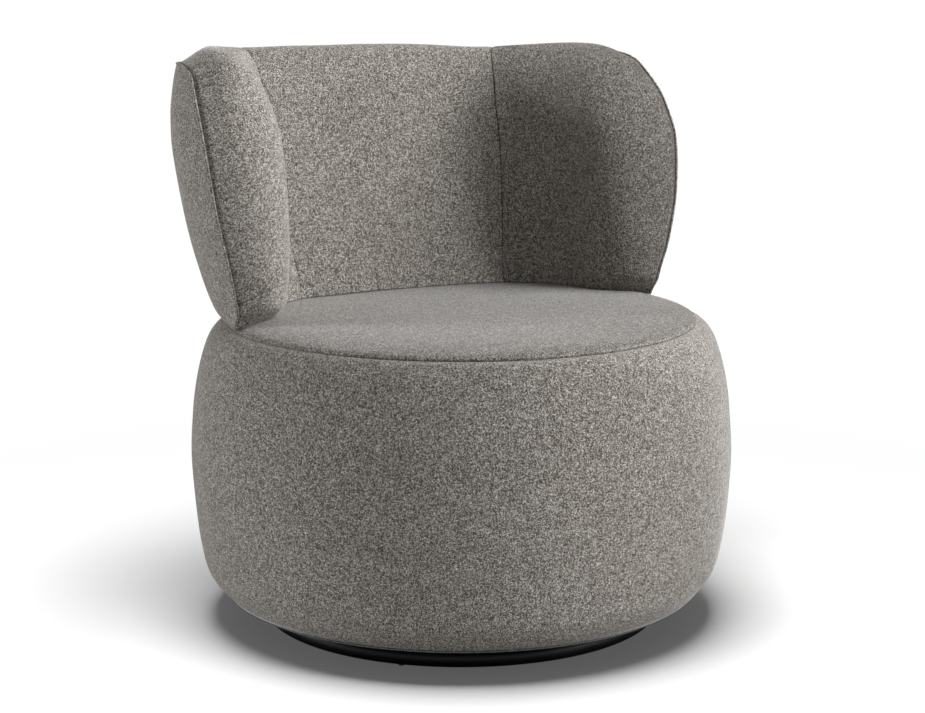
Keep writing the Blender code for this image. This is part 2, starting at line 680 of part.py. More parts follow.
def race_profile(plate_face, plate_back, upward):
    """Half of the turntable: a flat plate with a raised, grooved race. upward is +1 for the lower plate."""
    wall_end = BALL_HEIGHT - upward * (CAGE_THICKNESS / 2 + CAGE_CLEARANCE)
    groove = (BALL_RADIUS + BALL_CLEARANCE) / math.cos(math.pi / 2 / GROOVE_STEPS)
    rise = abs(BALL_HEIGHT - wall_end)
    first = math.asin(rise / groove)
    arc = []
    for step in range(GROOVE_STEPS + 1):
        turn = first + (math.pi - 2 * first) * step / GROOVE_STEPS
        arc.append((RACE_RADIUS + groove * math.cos(turn), BALL_HEIGHT - upward * groove * math.sin(turn)))
    outward = [
        (PLATE_HOLE_RADIUS, plate_back), (PLATE_HOLE_RADIUS, plate_face),
        (RACE_RADIUS - RACE_WALL, plate_face), (RACE_RADIUS - RACE_WALL, wall_end),
    ]
    outward += list(reversed(arc))
    outward += [
        (RACE_RADIUS + RACE_WALL, wall_end), (RACE_RADIUS + RACE_WALL, plate_face),
        (PLATE_RADIUS, plate_face), (PLATE_RADIUS, plate_back),
    ]
    return outward if upward > 0 else list(reversed(outward))


def make_turntable(group, cutters):
    """Lower plate on the cross, upper plate under the board, and the caged balls between them."""
    lower = turned("turntable_lower_plate", race_profile(LOWER_PLATE_TOP, LOWER_PLATE_BOTTOM, 1),
                   "zinc_steel", group)
    upper = turned("turntable_upper_plate", race_profile(UPPER_PLATE_BOTTOM, UPPER_PLATE_TOP, -1),
                   "zinc_steel", group)
    cage = washer("ball_cage", RACE_RADIUS - CAGE_WIDTH / 2, RACE_RADIUS + CAGE_WIDTH / 2,
                  BALL_HEIGHT - CAGE_THICKNESS / 2, BALL_HEIGHT + CAGE_THICKNESS / 2, "nylon", group)
    for number in range(BALL_COUNT):
        angle = math.tau * number / BALL_COUNT
        centre = on_circle(RACE_RADIUS, angle, BALL_HEIGHT)
        mesh = bpy.data.meshes.new("bearing_ball")
        shape = bmesh.new()
        bmesh.ops.create_icosphere(shape, subdivisions=2, radius=BALL_RADIUS)
        shape.to_mesh(mesh)
        shape.free()
        ball = add_object("bearing_ball_%d" % (number + 1), mesh, "bearing_steel", group)
        ball.location = centre
        shade(ball)
        drill_at(cage, "ball_pocket_%d" % (number + 1), BALL_RADIUS + BALL_CLEARANCE, centre,
                 CAGE_THICKNESS + CUT_OVERRUN, cutters)

    for number in range(FASTENER_COUNT):
        angle = math.tau * number / FASTENER_COUNT
        seat = on_circle(LOWER_BOLT_CIRCLE, angle, LOWER_PLATE_TOP + GAP)
        drill_at(lower, "plate_hole_%d" % (number + 1), BOLT_SHANK_RADIUS + GAP, seat,
                 PLATE_THICKNESS + CUT_OVERRUN, cutters)
        sections = [(BOLT_HEAD_RADIUS, BOLT_HEAD_HEIGHT),
                    (BOLT_SHANK_RADIUS, PLATE_THICKNESS + CROSS_HEIGHT + GAP)]
        head = seat + Vector((0, 0, BOLT_HEAD_HEIGHT))
        stepped_pin("turntable_bolt_%d" % (number + 1), sections, head, (0, 0, -1), "zinc_steel", group)
    return upper


def make_upper_screws(upper, board, group, cutters):
    """Screws from the upper plate into the bottom board."""
    for number in range(FASTENER_COUNT):
        angle = math.tau * (number + 0.5) / FASTENER_COUNT
        seat = on_circle(UPPER_SCREW_CIRCLE, angle, UPPER_PLATE_BOTTOM - GAP)
        name = "screw_hole_%d" % (number + 1)
        length = (GAP + PLATE_THICKNESS + SCREW_BITE + GAP) * 2
        drill = drill_at(upper, name, SCREW_SHANK_RADIUS + GAP, seat, length, cutters)
        cut(board, drill)
        sections = [(SCREW_HEAD_RADIUS, SCREW_HEAD_HEIGHT),
                    (SCREW_SHANK_RADIUS, GAP + PLATE_THICKNESS + SCREW_BITE)]
        head = seat - Vector((0, 0, SCREW_HEAD_HEIGHT))
        stepped_pin("board_screw_%d" % (number + 1), sections, head, (0, 0, 1), "zinc_steel", group)


# Drum frame

def make_frame(group):
    """Bottom board, posts, top ring, wrapped skin and dust cover."""
    board = washer("bottom_board", BOARD_HOLE_RADIUS, FRAME_RADIUS, BOARD_BOTTOM, BOARD_TOP, "plywood", group)
    dust_top = BOARD_BOTTOM - GAP
    washer("dust_cover", DUST_COVER_INNER_RADIUS, FRAME_RADIUS - GAP, dust_top - DUST_COVER_THICKNESS,
           dust_top, "dust_cloth", group)
    washer("seat_ring", TOP_RING_INNER_RADIUS, FRAME_RADIUS, TOP_RING_BOTTOM, TOP_RING_TOP, "plywood", group)
    washer("frame_skin", SKIN_INNER_RADIUS, SKIN_OUTER_RADIUS, HEM_TOP + GAP, TOP_RING_TOP, "hardboard",
           group)
    height = TOP_RING_BOTTOM - BOARD_TOP - 2 * GAP
    for number in range(POST_COUNT):
        angle = math.tau * (number + 0.5) / POST_COUNT
        post = block("frame_post_%d" % (number + 1), (POST_WIDTH, POST_WIDTH, height), "beech", group)
        radius = FRAME_RADIUS - POST_EDGE_ROOM - POST_WIDTH / 2
        post.location = on_circle(radius, angle, BOARD_TOP + GAP + height / 2)
        post.rotation_euler.z = angle
    return board


# Springs, felt and seat foam

def make_springs(group):
    """Zigzag wires across the opening of the top ring."""
    for number in range(SPRING_COUNT):
        across = SPRING_SPACING * (number - (SPRING_COUNT - 1) / 2)
        opening = math.sqrt(TOP_RING_INNER_RADIUS ** 2 - across ** 2)
        reach = opening + SPRING_HOLD
        waves = max(int(2 * opening / SPRING_PITCH), 1)
        places = [(0.0, -reach)]
        for wave in range(waves):
            start = -opening + 2 * opening * wave / waves
            end = -opening + 2 * opening * (wave + 1) / waves
            swing = SPRING_SWING if wave % 2 == 0 else -SPRING_SWING
            places += [(swing, start + (end - start) / 4), (swing, end - (end - start) / 4)]
        places.append((0.0, reach))
        curve = bpy.data.curves.new("seat_spring_%d" % (number + 1), "CURVE")
        curve.dimensions = "3D"
        curve.bevel_depth = SPRING_WIRE_RADIUS
        curve.bevel_resolution = 1
        curve.use_fill_caps = True
        spline = curve.splines.new("POLY")
        spline.points.add(len(places) - 1)
        for point, place in zip(spline.points, places):
            point.co = (across + place[0], place[1], SPRING_HEIGHT, 1.0)
        spring = bpy.data.objects.new("seat_spring_%d" % (number + 1), curve)
        group.objects.link(spring)
        curve.materials.append(bpy.data.materials.get("spring_steel") or new_material("spring_steel"))

    top = FELT_BOTTOM + FELT_THICKNESS
    radius = TOP_RING_INNER_RADIUS + FELT_EDGE_ROOM
    felt = [(0.0, top), (radius, top), (radius, FELT_BOTTOM), (0.0, FELT_BOTTOM)]
    turned("spring_felt", felt, "felt", group)


def make_seat(group):
    """Seat foam and the crowned cover over it."""
    profile = [(0.0, seat_height(0.0, DRUM_COVER) - SOFT_GAP)]
    for share in reversed(UNDER_STATION_SHARES):
        radius = (SEAM_RADIUS - DRUM_COVER) * share
        profile.append((radius, seat_height(radius, DRUM_COVER) - SOFT_GAP))
    profile.append((SEAT_FOAM_RADIUS, SEAM_HEIGHT - DRUM_COVER - SOFT_GAP))
    profile.append((SEAT_FOAM_RADIUS, SEAT_FOAM_BOTTOM))
    profile.append((0.0, SEAT_FOAM_BOTTOM))
    foam = turned("seat_foam", profile, "foam", group)
    shade(foam)

    top = [(0.0, seat_height(0.0))]
    under = [(0.0, seat_height(0.0, DRUM_COVER))]
    for share in reversed(CROWN_STATION_SHARES):
        radius = SEAM_RADIUS * share
        top.append((radius, seat_height(radius)))
    for share in reversed(UNDER_STATION_SHARES):
        radius = (SEAM_RADIUS - DRUM_COVER) * share
        under.append((radius, seat_height(radius, DRUM_COVER)))
    top.append((SEAM_RADIUS - SEAM_ROOM, SEAM_HEIGHT))
    under.append((SEAM_RADIUS - DRUM_COVER - SEAM_ROOM, SEAM_HEIGHT - DRUM_COVER))
    cover = turned("seat_cover", top + list(reversed(under)), "tweed", group)
    shade(cover)
    return foam, cover


def make_drum_side(group):
    """Hem band, side cover and the foam behind it."""
    hem_share = HEM_BAND_HEIGHT / (SEAM_HEIGHT - HEM_HEIGHT)
    inner = SKIN_INNER_RADIUS
    washer_top = drum_radius(hem_share)
    hem = [(inner, HEM_TOP), (washer_top, HEM_TOP), (drum_radius(0.0), HEM_HEIGHT), (inner, HEM_HEIGHT)]
    shade(turned("hem_band", hem, "hem_fabric", group))

    bottom = HEM_TOP + GAP
    outside = []
    inside = []
    for share in DRUM_STATION_SHARES:
        outside.append((drum_radius(max(share, hem_share)), max(drum_height(share), bottom)))
    for share in LINING_STATION_SHARES:
        inside.append((drum_radius(max(share, hem_share)) - DRUM_COVER, max(drum_height(share), bottom)))
    outside.append((SEAM_RADIUS, SEAM_HEIGHT - SEAM_ROOM))
    inside.append((SEAM_RADIUS - DRUM_COVER, SEAM_HEIGHT - DRUM_COVER - SEAM_ROOM))
    cover = turned("drum_cover", list(reversed(outside)) + inside, "tweed", group)
    shade(cover)

    back = SKIN_OUTER_RADIUS + GAP
    foam = [(radius - SOFT_GAP, height) for radius, height in inside[:-1]]
    top_radius, top_height = foam[-1]
    foam.append((max(inside[-1][0] - SOFT_GAP, back + SOFT_GAP), inside[-1][1] - SOFT_GAP))
    foam_top = foam[-1][1]
    foam.append((back, foam_top))
    foam.append((back, bottom))
    shade(turned("side_foam", list(reversed(foam)), "foam", group))


# Back

def make_back_pads(group):
    """Inner covers, foam, shell and outer cover of the wrap-around back."""
    inner_front = dict(inset=0.0, depth_out=WELT_ROOM, depth_in=0.0, seat_gap=BACK_SEAT_GAP, full=True)
    inner_back = dict(inset=BACK_COVER, depth_out=WELT_ROOM + BACK_COVER, depth_in=BACK_COVER,
                      seat_gap=BACK_SEAT_GAP, full=True)
    right = SEAM_COLUMN
    left = COLUMNS - SEAM_COLUMN
    slip = GAP / (BACK_HALF_WIDTH / COLUMNS)
    pad_solid("back_right_wing_cover", 0, right - slip, inner_front, inner_back, "tweed", group)
    pad_solid("back_centre_cover", right + slip, left - slip, inner_front, inner_back, "tweed", group)
    pad_solid("back_left_wing_cover", left + slip, COLUMNS, inner_front, inner_back, "tweed", group)

    outer_front = dict(inset=WELT_ROOM, depth_out=0.0, depth_in=0.0, seat_gap=BACK_UNDER_GAP, full=False)
    outer_back = dict(outer_front, inset=WELT_ROOM + BACK_COVER, depth_out=BACK_COVER)
    pad_solid("back_outer_cover", 0, COLUMNS, outer_back, outer_front, "tweed", group)

    shell_front = dict(inset=SHELL_EDGE_ROOM, depth_out=SHELL_DEPTH + SHELL_THICKNESS, depth_in=0.0,
                       seat_gap=BACK_UNDER_GAP, full=False)
    shell_back = dict(shell_front, depth_out=SHELL_DEPTH)
    shell = pad_solid("back_shell", 0, COLUMNS, shell_front, shell_back, "plywood", group)

    foam_front = dict(inset=BACK_COVER + FOAM_EDGE_ROOM, depth_out=WELT_ROOM + BACK_COVER + SOFT_GAP,
                      depth_in=BACK_COVER + SOFT_GAP, seat_gap=BACK_UNDER_GAP, full=True)
    foam_back = dict(foam_front, inset=SHELL_EDGE_ROOM - FOAM_LIP, depth_out=FOAM_DEPTH, full=False)
    foam = pad_solid("back_foam", 0, COLUMNS, foam_front, foam_back, "foam", group)
    return shell, foam


def make_welt(group):
    """Self-welt along the outline of the back."""
    places = []
    for row in range(ROWS):
        places.append((0, row))
    for column in range(COLUMNS + 1):
        places.append((column, ROWS))
    for row in reversed(range(ROWS)):
        places.append((COLUMNS, row))
    curve = bpy.data.curves.new("back_welt", "CURVE")
    curve.dimensions = "3D"
    curve.bevel_depth = WELT_RADIUS
    curve.bevel_resolution = 2
    curve.use_fill_caps = True
    spline = curve.splines.new("POLY")
    spline.points.add(len(places) - 1)
    for point, (column, row) in zip(spline.points, places):
        place = pad_point(column, row, inset=0.0, depth_out=0.0, depth_in=0.0,
                          seat_gap=WELT_RADIUS + BACK_SEAT_GAP, full=False)
        point.co = (*place, 1.0)
    welt = bpy.data.objects.new("back_welt", curve)
    group.objects.link(welt)
    curve.materials.append(bpy.data.materials.get("tweed") or new_material("tweed"))


def post_frame(angle):
    """Foot, head, direction and outward normal of a back post at an angle.

    The post leans straight out from the shell's inner face, so that its foot stands level.
    """
    top = outer_point(angle, BACK_POST_HEIGHT_SHARE)
    bottom = outer_point(angle, 0.0)
    half_width, _, half_depth = outer_plan(BACK_POST_HEIGHT_SHARE / 2)
    turn = math.radians(angle)
    outward = Vector((half_depth * math.sin(turn), half_width * math.cos(turn), 0.0)).normalized()
    depth = SHELL_DEPTH + SHELL_THICKNESS + BACK_POST_SHELL_GAP + BACK_POST_THICKNESS / 2
    head = top - outward * depth
    rise = top.z - bottom.z
    lean = (top - bottom).dot(outward)
    direction = Vector((outward.x * lean, outward.y * lean, rise)).normalized()
    normal = Vector((outward.x * rise, outward.y * rise, -lean)).normalized()
    tilt = lean / math.hypot(lean, rise)
    foot_height = TOP_RING_TOP + GAP + BACK_POST_THICKNESS / 2 * tilt
    foot = head - direction * ((head.z - foot_height) / direction.z)
    return foot, head, direction, normal


def make_back_posts(soft_pieces, shell, foam, group, cutters):
    """Flat steel posts that stand on the seat ring and carry the shell, each with its bolt."""
    for number, angle in enumerate(BACK_POST_ANGLES):
        foot, head, direction, normal = post_frame(angle)
        length = (head - foot).length
        middle = (foot + head) / 2
        side = normal.cross(direction)
        turn = Matrix((side, normal, direction)).transposed().to_4x4()
        place = Matrix.Translation(middle) @ turn
        name = "back_post_%d" % (number + 1)
        post = block(name, (BACK_POST_WIDTH, BACK_POST_THICKNESS, length), "black_steel", group)
        post.matrix_world = place
        grown = 2 * BACK_POST_SLOT
        slot = block(name + "_slot", (BACK_POST_WIDTH + grown, BACK_POST_THICKNESS + grown, length + grown),
                     "black_steel", cutters)
        slot.matrix_world = place
        hide_cutter(slot)
        for piece in soft_pieces:
            cut(piece, slot)

        outside = outer_point(angle, BACK_BOLT_HEIGHT_SHARE)
        share = (outside.z - foot.z) / (head.z - foot.z)
        through = foot.lerp(head, share)
        shell_face = through + normal * (BACK_POST_THICKNESS / 2 + BACK_POST_SHELL_GAP + SHELL_THICKNESS)
        lift = (outside - shell_face).dot(normal) - SHELL_DEPTH
        shell_face = shell_face + normal * lift
        head_place = shell_face - normal * (BACK_BOLT_RECESS - BACK_BOLT_HEAD_HEIGHT)
        run = (shell_face - through).dot(normal) - BACK_BOLT_RECESS + BACK_POST_THICKNESS / 2 + BACK_BOLT_END
        sections = [(BACK_BOLT_HEAD_RADIUS, BACK_BOLT_HEAD_HEIGHT), (BACK_BOLT_RADIUS, run)]
        stepped_pin("back_bolt_%d" % (number + 1), sections, head_place, -normal, "zinc_steel", group)
        widen = 1.0 / math.cos(math.pi / HOLE_STEPS)
        pocket_sections = [
            ((BACK_BOLT_HEAD_RADIUS + GAP) * widen, CUT_OVERRUN + BACK_BOLT_HEAD_HEIGHT + GAP),
            ((BACK_BOLT_RADIUS + GAP) * widen, run + GAP),
        ]
        pocket = stepped_pin("back_bolt_%d_pocket" % (number + 1), pocket_sections,
                             head_place + normal * CUT_OVERRUN, -normal, "zinc_steel", cutters)
        hide_cutter(pocket)
        cut(shell, pocket)
        cut(post, pocket)
        cut(foam, pocket)


def main():
    """Build the whole chair."""
    clear_scene()
    chair = new_collection("swivel_lounge_chair")
    cutters = new_collection("cutters")
    make_base(chair, cutters)
    upper = make_turntable(chair, cutters)
    board = make_frame(chair)
    make_upper_screws(upper, board, chair, cutters)
    make_springs(chair)
    seat_foam, seat_cover = make_seat(chair)
    make_drum_side(chair)
    shell, back_foam = make_back_pads(chair)
    make_welt(chair)
    make_back_posts([seat_foam, seat_cover, back_foam], shell, back_foam, chair, cutters)


if __name__ == "__main__":
    main()
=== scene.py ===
import json
import math

import bmesh
import bpy
import numpy
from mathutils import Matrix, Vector, noise

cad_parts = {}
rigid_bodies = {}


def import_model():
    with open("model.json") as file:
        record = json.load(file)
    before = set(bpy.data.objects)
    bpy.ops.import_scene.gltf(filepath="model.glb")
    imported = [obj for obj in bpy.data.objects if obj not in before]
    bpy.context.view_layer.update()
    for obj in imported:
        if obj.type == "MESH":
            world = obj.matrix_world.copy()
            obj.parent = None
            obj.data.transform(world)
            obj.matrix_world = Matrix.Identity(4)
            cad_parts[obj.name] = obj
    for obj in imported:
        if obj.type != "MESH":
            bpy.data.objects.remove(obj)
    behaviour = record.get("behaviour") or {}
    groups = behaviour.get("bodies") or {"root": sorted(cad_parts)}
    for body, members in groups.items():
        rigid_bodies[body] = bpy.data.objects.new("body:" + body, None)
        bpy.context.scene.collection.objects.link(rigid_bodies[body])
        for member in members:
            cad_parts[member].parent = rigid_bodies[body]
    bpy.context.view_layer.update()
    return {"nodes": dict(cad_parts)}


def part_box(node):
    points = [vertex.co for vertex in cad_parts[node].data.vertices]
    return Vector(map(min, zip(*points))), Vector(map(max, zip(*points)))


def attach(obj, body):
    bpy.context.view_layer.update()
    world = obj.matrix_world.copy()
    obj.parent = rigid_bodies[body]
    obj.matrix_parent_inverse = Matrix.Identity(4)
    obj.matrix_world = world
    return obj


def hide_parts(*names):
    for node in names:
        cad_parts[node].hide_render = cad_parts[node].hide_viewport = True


bl_info = {
    "name": "Swivel lounge chair",
    "version": (1, 0, 0),
    "blender": (4, 5, 0),
    "location": "3D View > Sidebar > Lounge Chair",
    "description": "Upholstery, welt, hem, base ring and finishes of a round swivel lounge chair",
    "category": "Object",
}

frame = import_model()

# Corners that the CAD frame gives, in metres

DRUM_LOW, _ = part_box("drum_cover")
HEM_LOW, HEM_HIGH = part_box("hem_band")
RING_LOW, RING_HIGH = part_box("floor_ring")
_, SKIN_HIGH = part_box("frame_skin")

# Measures that the solids were drawn with; lengths are in metres

DRUM_RADIUS = 0.380
SEAM_HEIGHT = 0.424
SEAT_CROWN = 0.0152
SEAT_CROWN_POWER = 0.35
DRUM_COVER = 0.006
SOFT_GAP = 0.0008
JOIN_GAP = 0.0003
BACK_RISE = 0.365
BACK_SIDE_ROOM = 0.0032
BACK_CENTRE_SHIFT = 0.1406
WELT_RADIUS = 0.002
WING_THICKNESS = 0.1222
INNER_WAIST = 0.017
BACK_THICKNESS = 0.1486
INNER_LEAN = 0.094
INNER_CENTRE = 0.0456
INNER_SQUARENESS = 3.3
SEAM_VALLEY = 0.007
SIDE_ROLL_DEPTH = 0.061
SIDE_ROLL_BULGE = 0.023
TOP_ROLL_DEPTH = 0.068
TOP_ROLL_BULGE = 0.0285
BACK_COVER = 0.008
SHELL_THICKNESS = 0.012
SHELL_EDGE_ROOM = 0.014
FOAM_EDGE_ROOM = 0.0025
FOAM_LIP = 0.0015
WELT_ROOM = 0.0026
BACK_SEAT_GAP = 0.0014
BACK_UNDER_GAP = 0.0028

# Columns across the back, rows up it, and the steps of the roll round its edge

ROLL_STEPS = 3
WING_COLUMNS = 4
CENTRE_COLUMNS = 10
FACE_ROWS = 6
COLUMNS = 2 * (ROLL_STEPS + WING_COLUMNS) + CENTRE_COLUMNS
ROWS = FACE_ROWS + ROLL_STEPS
SEAM_COLUMN = ROLL_STEPS + WING_COLUMNS
LIFT_ROUNDS = 16
LIFT_POWER = 3

# Share of the height from hem to seam, share of the drum's radius
DRUM_SHARES = (
    (0.000, 0.8746), (0.091, 0.9448), (0.182, 0.9707), (0.300, 0.9878), (0.455, 0.9991),
    (0.540, 1.0000), (0.650, 0.9930), (0.740, 0.9845), (0.825, 0.9690), (0.905, 0.9465),
    (0.955, 0.9240), (0.985, 0.8960), (1.000, 0.8660),
)
# The back's outer plan: share of the rise, then shares of the width, of the shift and of the depth
OUTER_SHARES = (
    (0.000, 0.000, 0.000, 0.000), (0.053, 0.092, 0.326, 0.179), (0.247, 0.520, 0.429, 0.515),
    (0.425, 0.818, 0.479, 0.716), (0.648, 1.000, 0.596, 0.888), (0.754, 0.952, 0.705, 0.948),
    (0.828, 0.861, 0.779, 0.985), (0.944, 0.548, 0.947, 1.000), (1.000, 0.311, 1.000, 0.990),
    (1.080, 0.060, 1.020, 0.930),
)
# Front edge of a wing: share of the rise, degrees from the middle, turn of the roll, slant
EDGE_SHARES = (
    (0.000, 87.0, 0.0, 2.6), (0.053, 96.5, 0.0, 1.9), (0.120, 99.4, 0.0, 1.2),
    (0.247, 101.1, 0.0, 1.0), (0.425, 101.5, 0.0, 1.0), (0.648, 102.0, 0.0, 1.0),
    (0.754, 101.4, 8.0, 1.0), (0.828, 99.8, 20.0, 1.0), (0.936, 95.8, 45.0, 1.0),
)
EDGE_ROW_POWER = 1.3
# Top edge: degrees from the middle, share of the rise, turn of the roll
TOP_SHARES = (
    (0.0, 0.958, 90.0), (22.0, 0.951, 90.0), (37.0, 0.940, 90.0), (50.0, 0.947, 90.0),
    (66.0, 0.960, 90.0), (80.0, 0.966, 88.0), (89.0, 0.960, 72.0), (95.8, 0.936, 45.0),
)
CORNER_HEIGHT_SHARE = 0.936
CORNER_ANGLE = 95.8
SEAM_ANGLE_SEAT = 48.0
SEAM_ANGLE_TOP = 41.5
SEAM_VALLEY_ANGLE = 6.0
# Inner plan: share of the rise, share of the waist, share of the lean
INNER_SHARES = (
    (0.00, 0.55, -0.03), (0.03, 0.58, 0.00), (0.25, 0.88, 0.27), (0.47, 1.00, 0.53),
    (0.70, 0.75, 0.80), (0.85, 0.25, 0.96), (1.00, -0.30, 1.06), (1.08, -0.50, 1.10),
)

SEAM_RADIUS = DRUM_RADIUS * DRUM_SHARES[-1][1]
BACK_REACH = DRUM_RADIUS - WELT_RADIUS
BACK_HALF_WIDTH = DRUM_RADIUS - BACK_SIDE_ROOM
INNER_HALF_WIDTH = BACK_HALF_WIDTH - WING_THICKNESS
INNER_DEPTH = SEAM_RADIUS - BACK_THICKNESS
SHELL_DEPTH = BACK_COVER + SOFT_GAP
FOAM_DEPTH = SHELL_DEPTH + SHELL_THICKNESS + SOFT_GAP

# Finer form that the solids leave to this scene, in metres unless a line says otherwise

# How far inside the back's outline its covers end, under the welt
WELT_CONTACT = 0.0018
# How much fuller a wing's top stands, the columns or rows over which that fades in from the
# outline, and the column where it starts
LEFT_STUFFING = (0.00775, 0.8, 13.0)
RIGHT_STUFFING = (-0.0015, 1.6, 11.0)
STUFFING_ROW = 4.0
STUFFING_ROW_FADE = 2.5
STUFFING_COLUMN_FADE = 4.0
# The seat seam's tight crease, the share of a dip that goes in and down each, the turned-in lip
# of the drum's cover, and the share of the groove that the seat's cover takes
CREASE_DEPTH = 0.0012
CREASE_REACH = 0.0030
SEAM_SLOPE = 0.7
SEAM_LIP = 0.001
SEAT_SINK_SHARE = 0.9
# Puckers fade in over this length beside a seam, and out over so many groove reaches
PUCKER_START = 0.003
TURNED_PUCKER_REACH = 2.2
PANEL_PUCKER_REACH = 3.0
# Size of the padding's soft waves, and the length or steps over which they fade in from an edge
TURNED_WAVE_SIZE = 0.11
TURNED_WAVE_FADE = 0.05
PANEL_WAVE_SIZE = 0.10
PANEL_WAVE_FADE = 0.04
PANEL_EDGE_STEPS = 8
HEM_WAVE_FADE = 0.02
# The hem: how far it laps under the drum, curls in and bulges, the dent that its stitches press,
# and how far under its top edge they run
HEM_LAP = 0.0035
HEM_CURL = 0.004
HEM_BULGE = 0.0009
HEM_DENT = 0.0008
STITCH_DROP = 0.0009
# Steps over the hem's fold, half a stitch as a share of the stitch length, the thread's sides
HEM_STEPS = 12
STITCH_SHARE = 0.36
STITCH_SIDES = 6
# In thread radii: how far the stitches stand off the drum's line, how much further their middle
# rises and their ends dive, and the share by which they thin there
STITCH_LIFT = 0.2
STITCH_CROWN = 0.9
STITCH_DIVE = 1.3
STITCH_TAPER = 0.55
# Shares of the way up and of the radius at which the covers' inner sides have points, and the
# share of a cover's thickness below which a point is on its under side
DRUM_LINING_SHARES = (0.95, 0.84, 0.54, 0.18)
SEAT_LINING_SHARES = (0.0, 0.3, 0.6, 0.8, 0.94, 1.0)
UNDER_SIDE_SHARE = 0.6
# The hidden foam: shares of the radius and of the height that it fills, the drop to its edge, its
# cut corners, the felt's rounded edge and the lining's ripples
FOAM_CROWN_SHARE = 0.94
FOAM_SIDE_SHARE = 0.95
FOAM_EDGE_DROP = 0.002
FOAM_CORNER = 0.003
FELT_ROUNDING = 0.0012
LINING_RIPPLE = 0.0002
LINING_RIPPLES = 10
PADDING_ROW_STEPS = 3
# Steps round a turned cover and round hidden padding
TURN_STEPS = 360
PADDING_STEPS = 96
# Steps up the drum's side, across the seat and along the foam
DRUM_STEPS = 72
SEAT_STEPS = 64
FOAM_STEPS = 24
# How strongly the steps crowd towards the seat seam
DRUM_CROWDING = 1.5
SEAT_CROWDING = 2.0
# Steps to a row of the back's panels, and to a column of the roll and of the outside
ROW_STEPS = 8
ROLL_COLUMN_STEPS = 8
OUTSIDE_COLUMN_STEPS = 6
# Steps across a wing panel's face and across the centre panel
WING_FACE_STEPS = 28
CENTRE_FACE_STEPS = 80
# The welt: steps to a row and to a column, smoothing rounds, sides of the cord
WELT_ROW_STEPS = 10
WELT_COLUMN_STEPS = 8
WELT_ROUNDS = 4
WELT_SIDES = 12
# A direction that the cord never runs along, from which its sides are turned
WELT_ASIDE = Vector((0.0, -1.0, 0.35))
# The floor ring's weld: half its width in degrees, the run-out round it, and its height
WELD_HALF_ANGLE = 1.2
WELD_INSET = 0.0008
WELD_HEIGHT = 0.0004
# Points closer than this are one, and rounds that even out a cloth's map
MERGE_DISTANCE = 0.00001
RELAX_ROUNDS = 300


# Colour and nodes

def linear(code):
    """An sRGB hex colour as the linear red, green, blue and alpha that a shader takes."""
    channels = []
    for start in (1, 3, 5):
        value = int(code[start:start + 2], 16) / 255
        channels.append(value / 12.92 if value <= 0.04045 else ((value + 0.055) / 1.055) ** 2.4)
    return (*channels, 1.0)


def add_node(tree, kind, inputs=None, **settings):
    """Add a node with its settings; an input is a value or the output socket that feeds it."""
    node = tree.nodes.new(kind)
    for name, value in settings.items():
        setattr(node, name, value)
    for name, value in (inputs or {}).items():
        if isinstance(value, bpy.types.NodeSocket):
            tree.links.new(value, node.inputs[name])
        else:
            node.inputs[name].default_value = value
    return node


def ramp(tree, factor, stops):
    """A colour ramp through stops of place and hex colour; its colour output."""
    node = add_node(tree, "ShaderNodeValToRGB", {"Fac": factor})
    band = node.color_ramp.elements
    while len(band) < len(stops):
        band.new(0.5)
    for element, (place, code) in zip(band, stops):
        element.position = place
        element.color = linear(code)
    return node.outputs["Color"]


def new_surface(name, **sockets):
    """A material with one Principled shader whose plain values are set on its own sockets."""
    material = bpy.data.materials.new(name)
    material.use_nodes = True
    tree = material.node_tree
    tree.nodes.clear()
    shader = add_node(tree, "ShaderNodeBsdfPrincipled", sockets)
    add_node(tree, "ShaderNodeOutputMaterial", {"Surface": shader.outputs["BSDF"]})
    return material, tree, shader


def feed(tree, shader, color=None, roughness=None, height=None, distance=0.001, strength=1.0):
    """Join colour, roughness and a bump height to a shader."""
    if color is not None:
        tree.links.new(color, shader.inputs["Base Color"])
    if roughness is not None:
        tree.links.new(roughness, shader.inputs["Roughness"])
    if height is not None:
        bump = add_node(tree, "ShaderNodeBump", {
            "Height": height, "Distance": distance, "Strength": strength})
        tree.links.new(bump.outputs["Normal"], shader.inputs["Normal"])


def spread(tree, value, low, high):
    """Map a 0 to 1 value to the range from low to high."""
    node = add_node(tree, "ShaderNodeMapRange", {"Value": value, "To Min": low, "To Max": high})
    return node.outputs["Result"]


def combine(tree, operation, first, second):
    """One arithmetic step on two values."""
    node = add_node(tree, "ShaderNodeMath", operation=operation)
    for socket, value in zip(node.inputs, (first, second)):
        if isinstance(value, bpy.types.NodeSocket):
            tree.links.new(value, socket)
        else:
            socket.default_value = value
    return node.outputs[0]


def stretched(tree, source, sizes):
    """Coordinates divided by a pattern's size in metres along each axis."""
    scale = [1.0 / size for size in sizes]
    node = add_node(tree, "ShaderNodeMapping", {"Vector": source, "Scale": scale})
    return node.outputs["Vector"]


# Finishes

# Each set of yarn picks: width and height in threads, share of the tone
YARN_PICKS = ((1.0, 1.0, 0.66), (1.0, 4.0, 0.19), (5.0, 1.0, 0.15))
# Tones at which the yarn is fully dark and fully light
YARN_STOPS = (0.06, 0.94)
# How far a pick strays from its place, as Voronoi randomness
YARN_SCATTER = 0.4
# Relief and drift of the threads in thread spacings, and the size of the drift in metres
YARN_RELIEF = 0.2
YARN_DRIFT = 0.8
DRIFT_SIZE = 0.012
# Soft change of tone over the cloth: its part of the tone, and its size in metres
YARN_MOTTLE = 0.05
MOTTLE_SIZE = (0.050, 0.016)


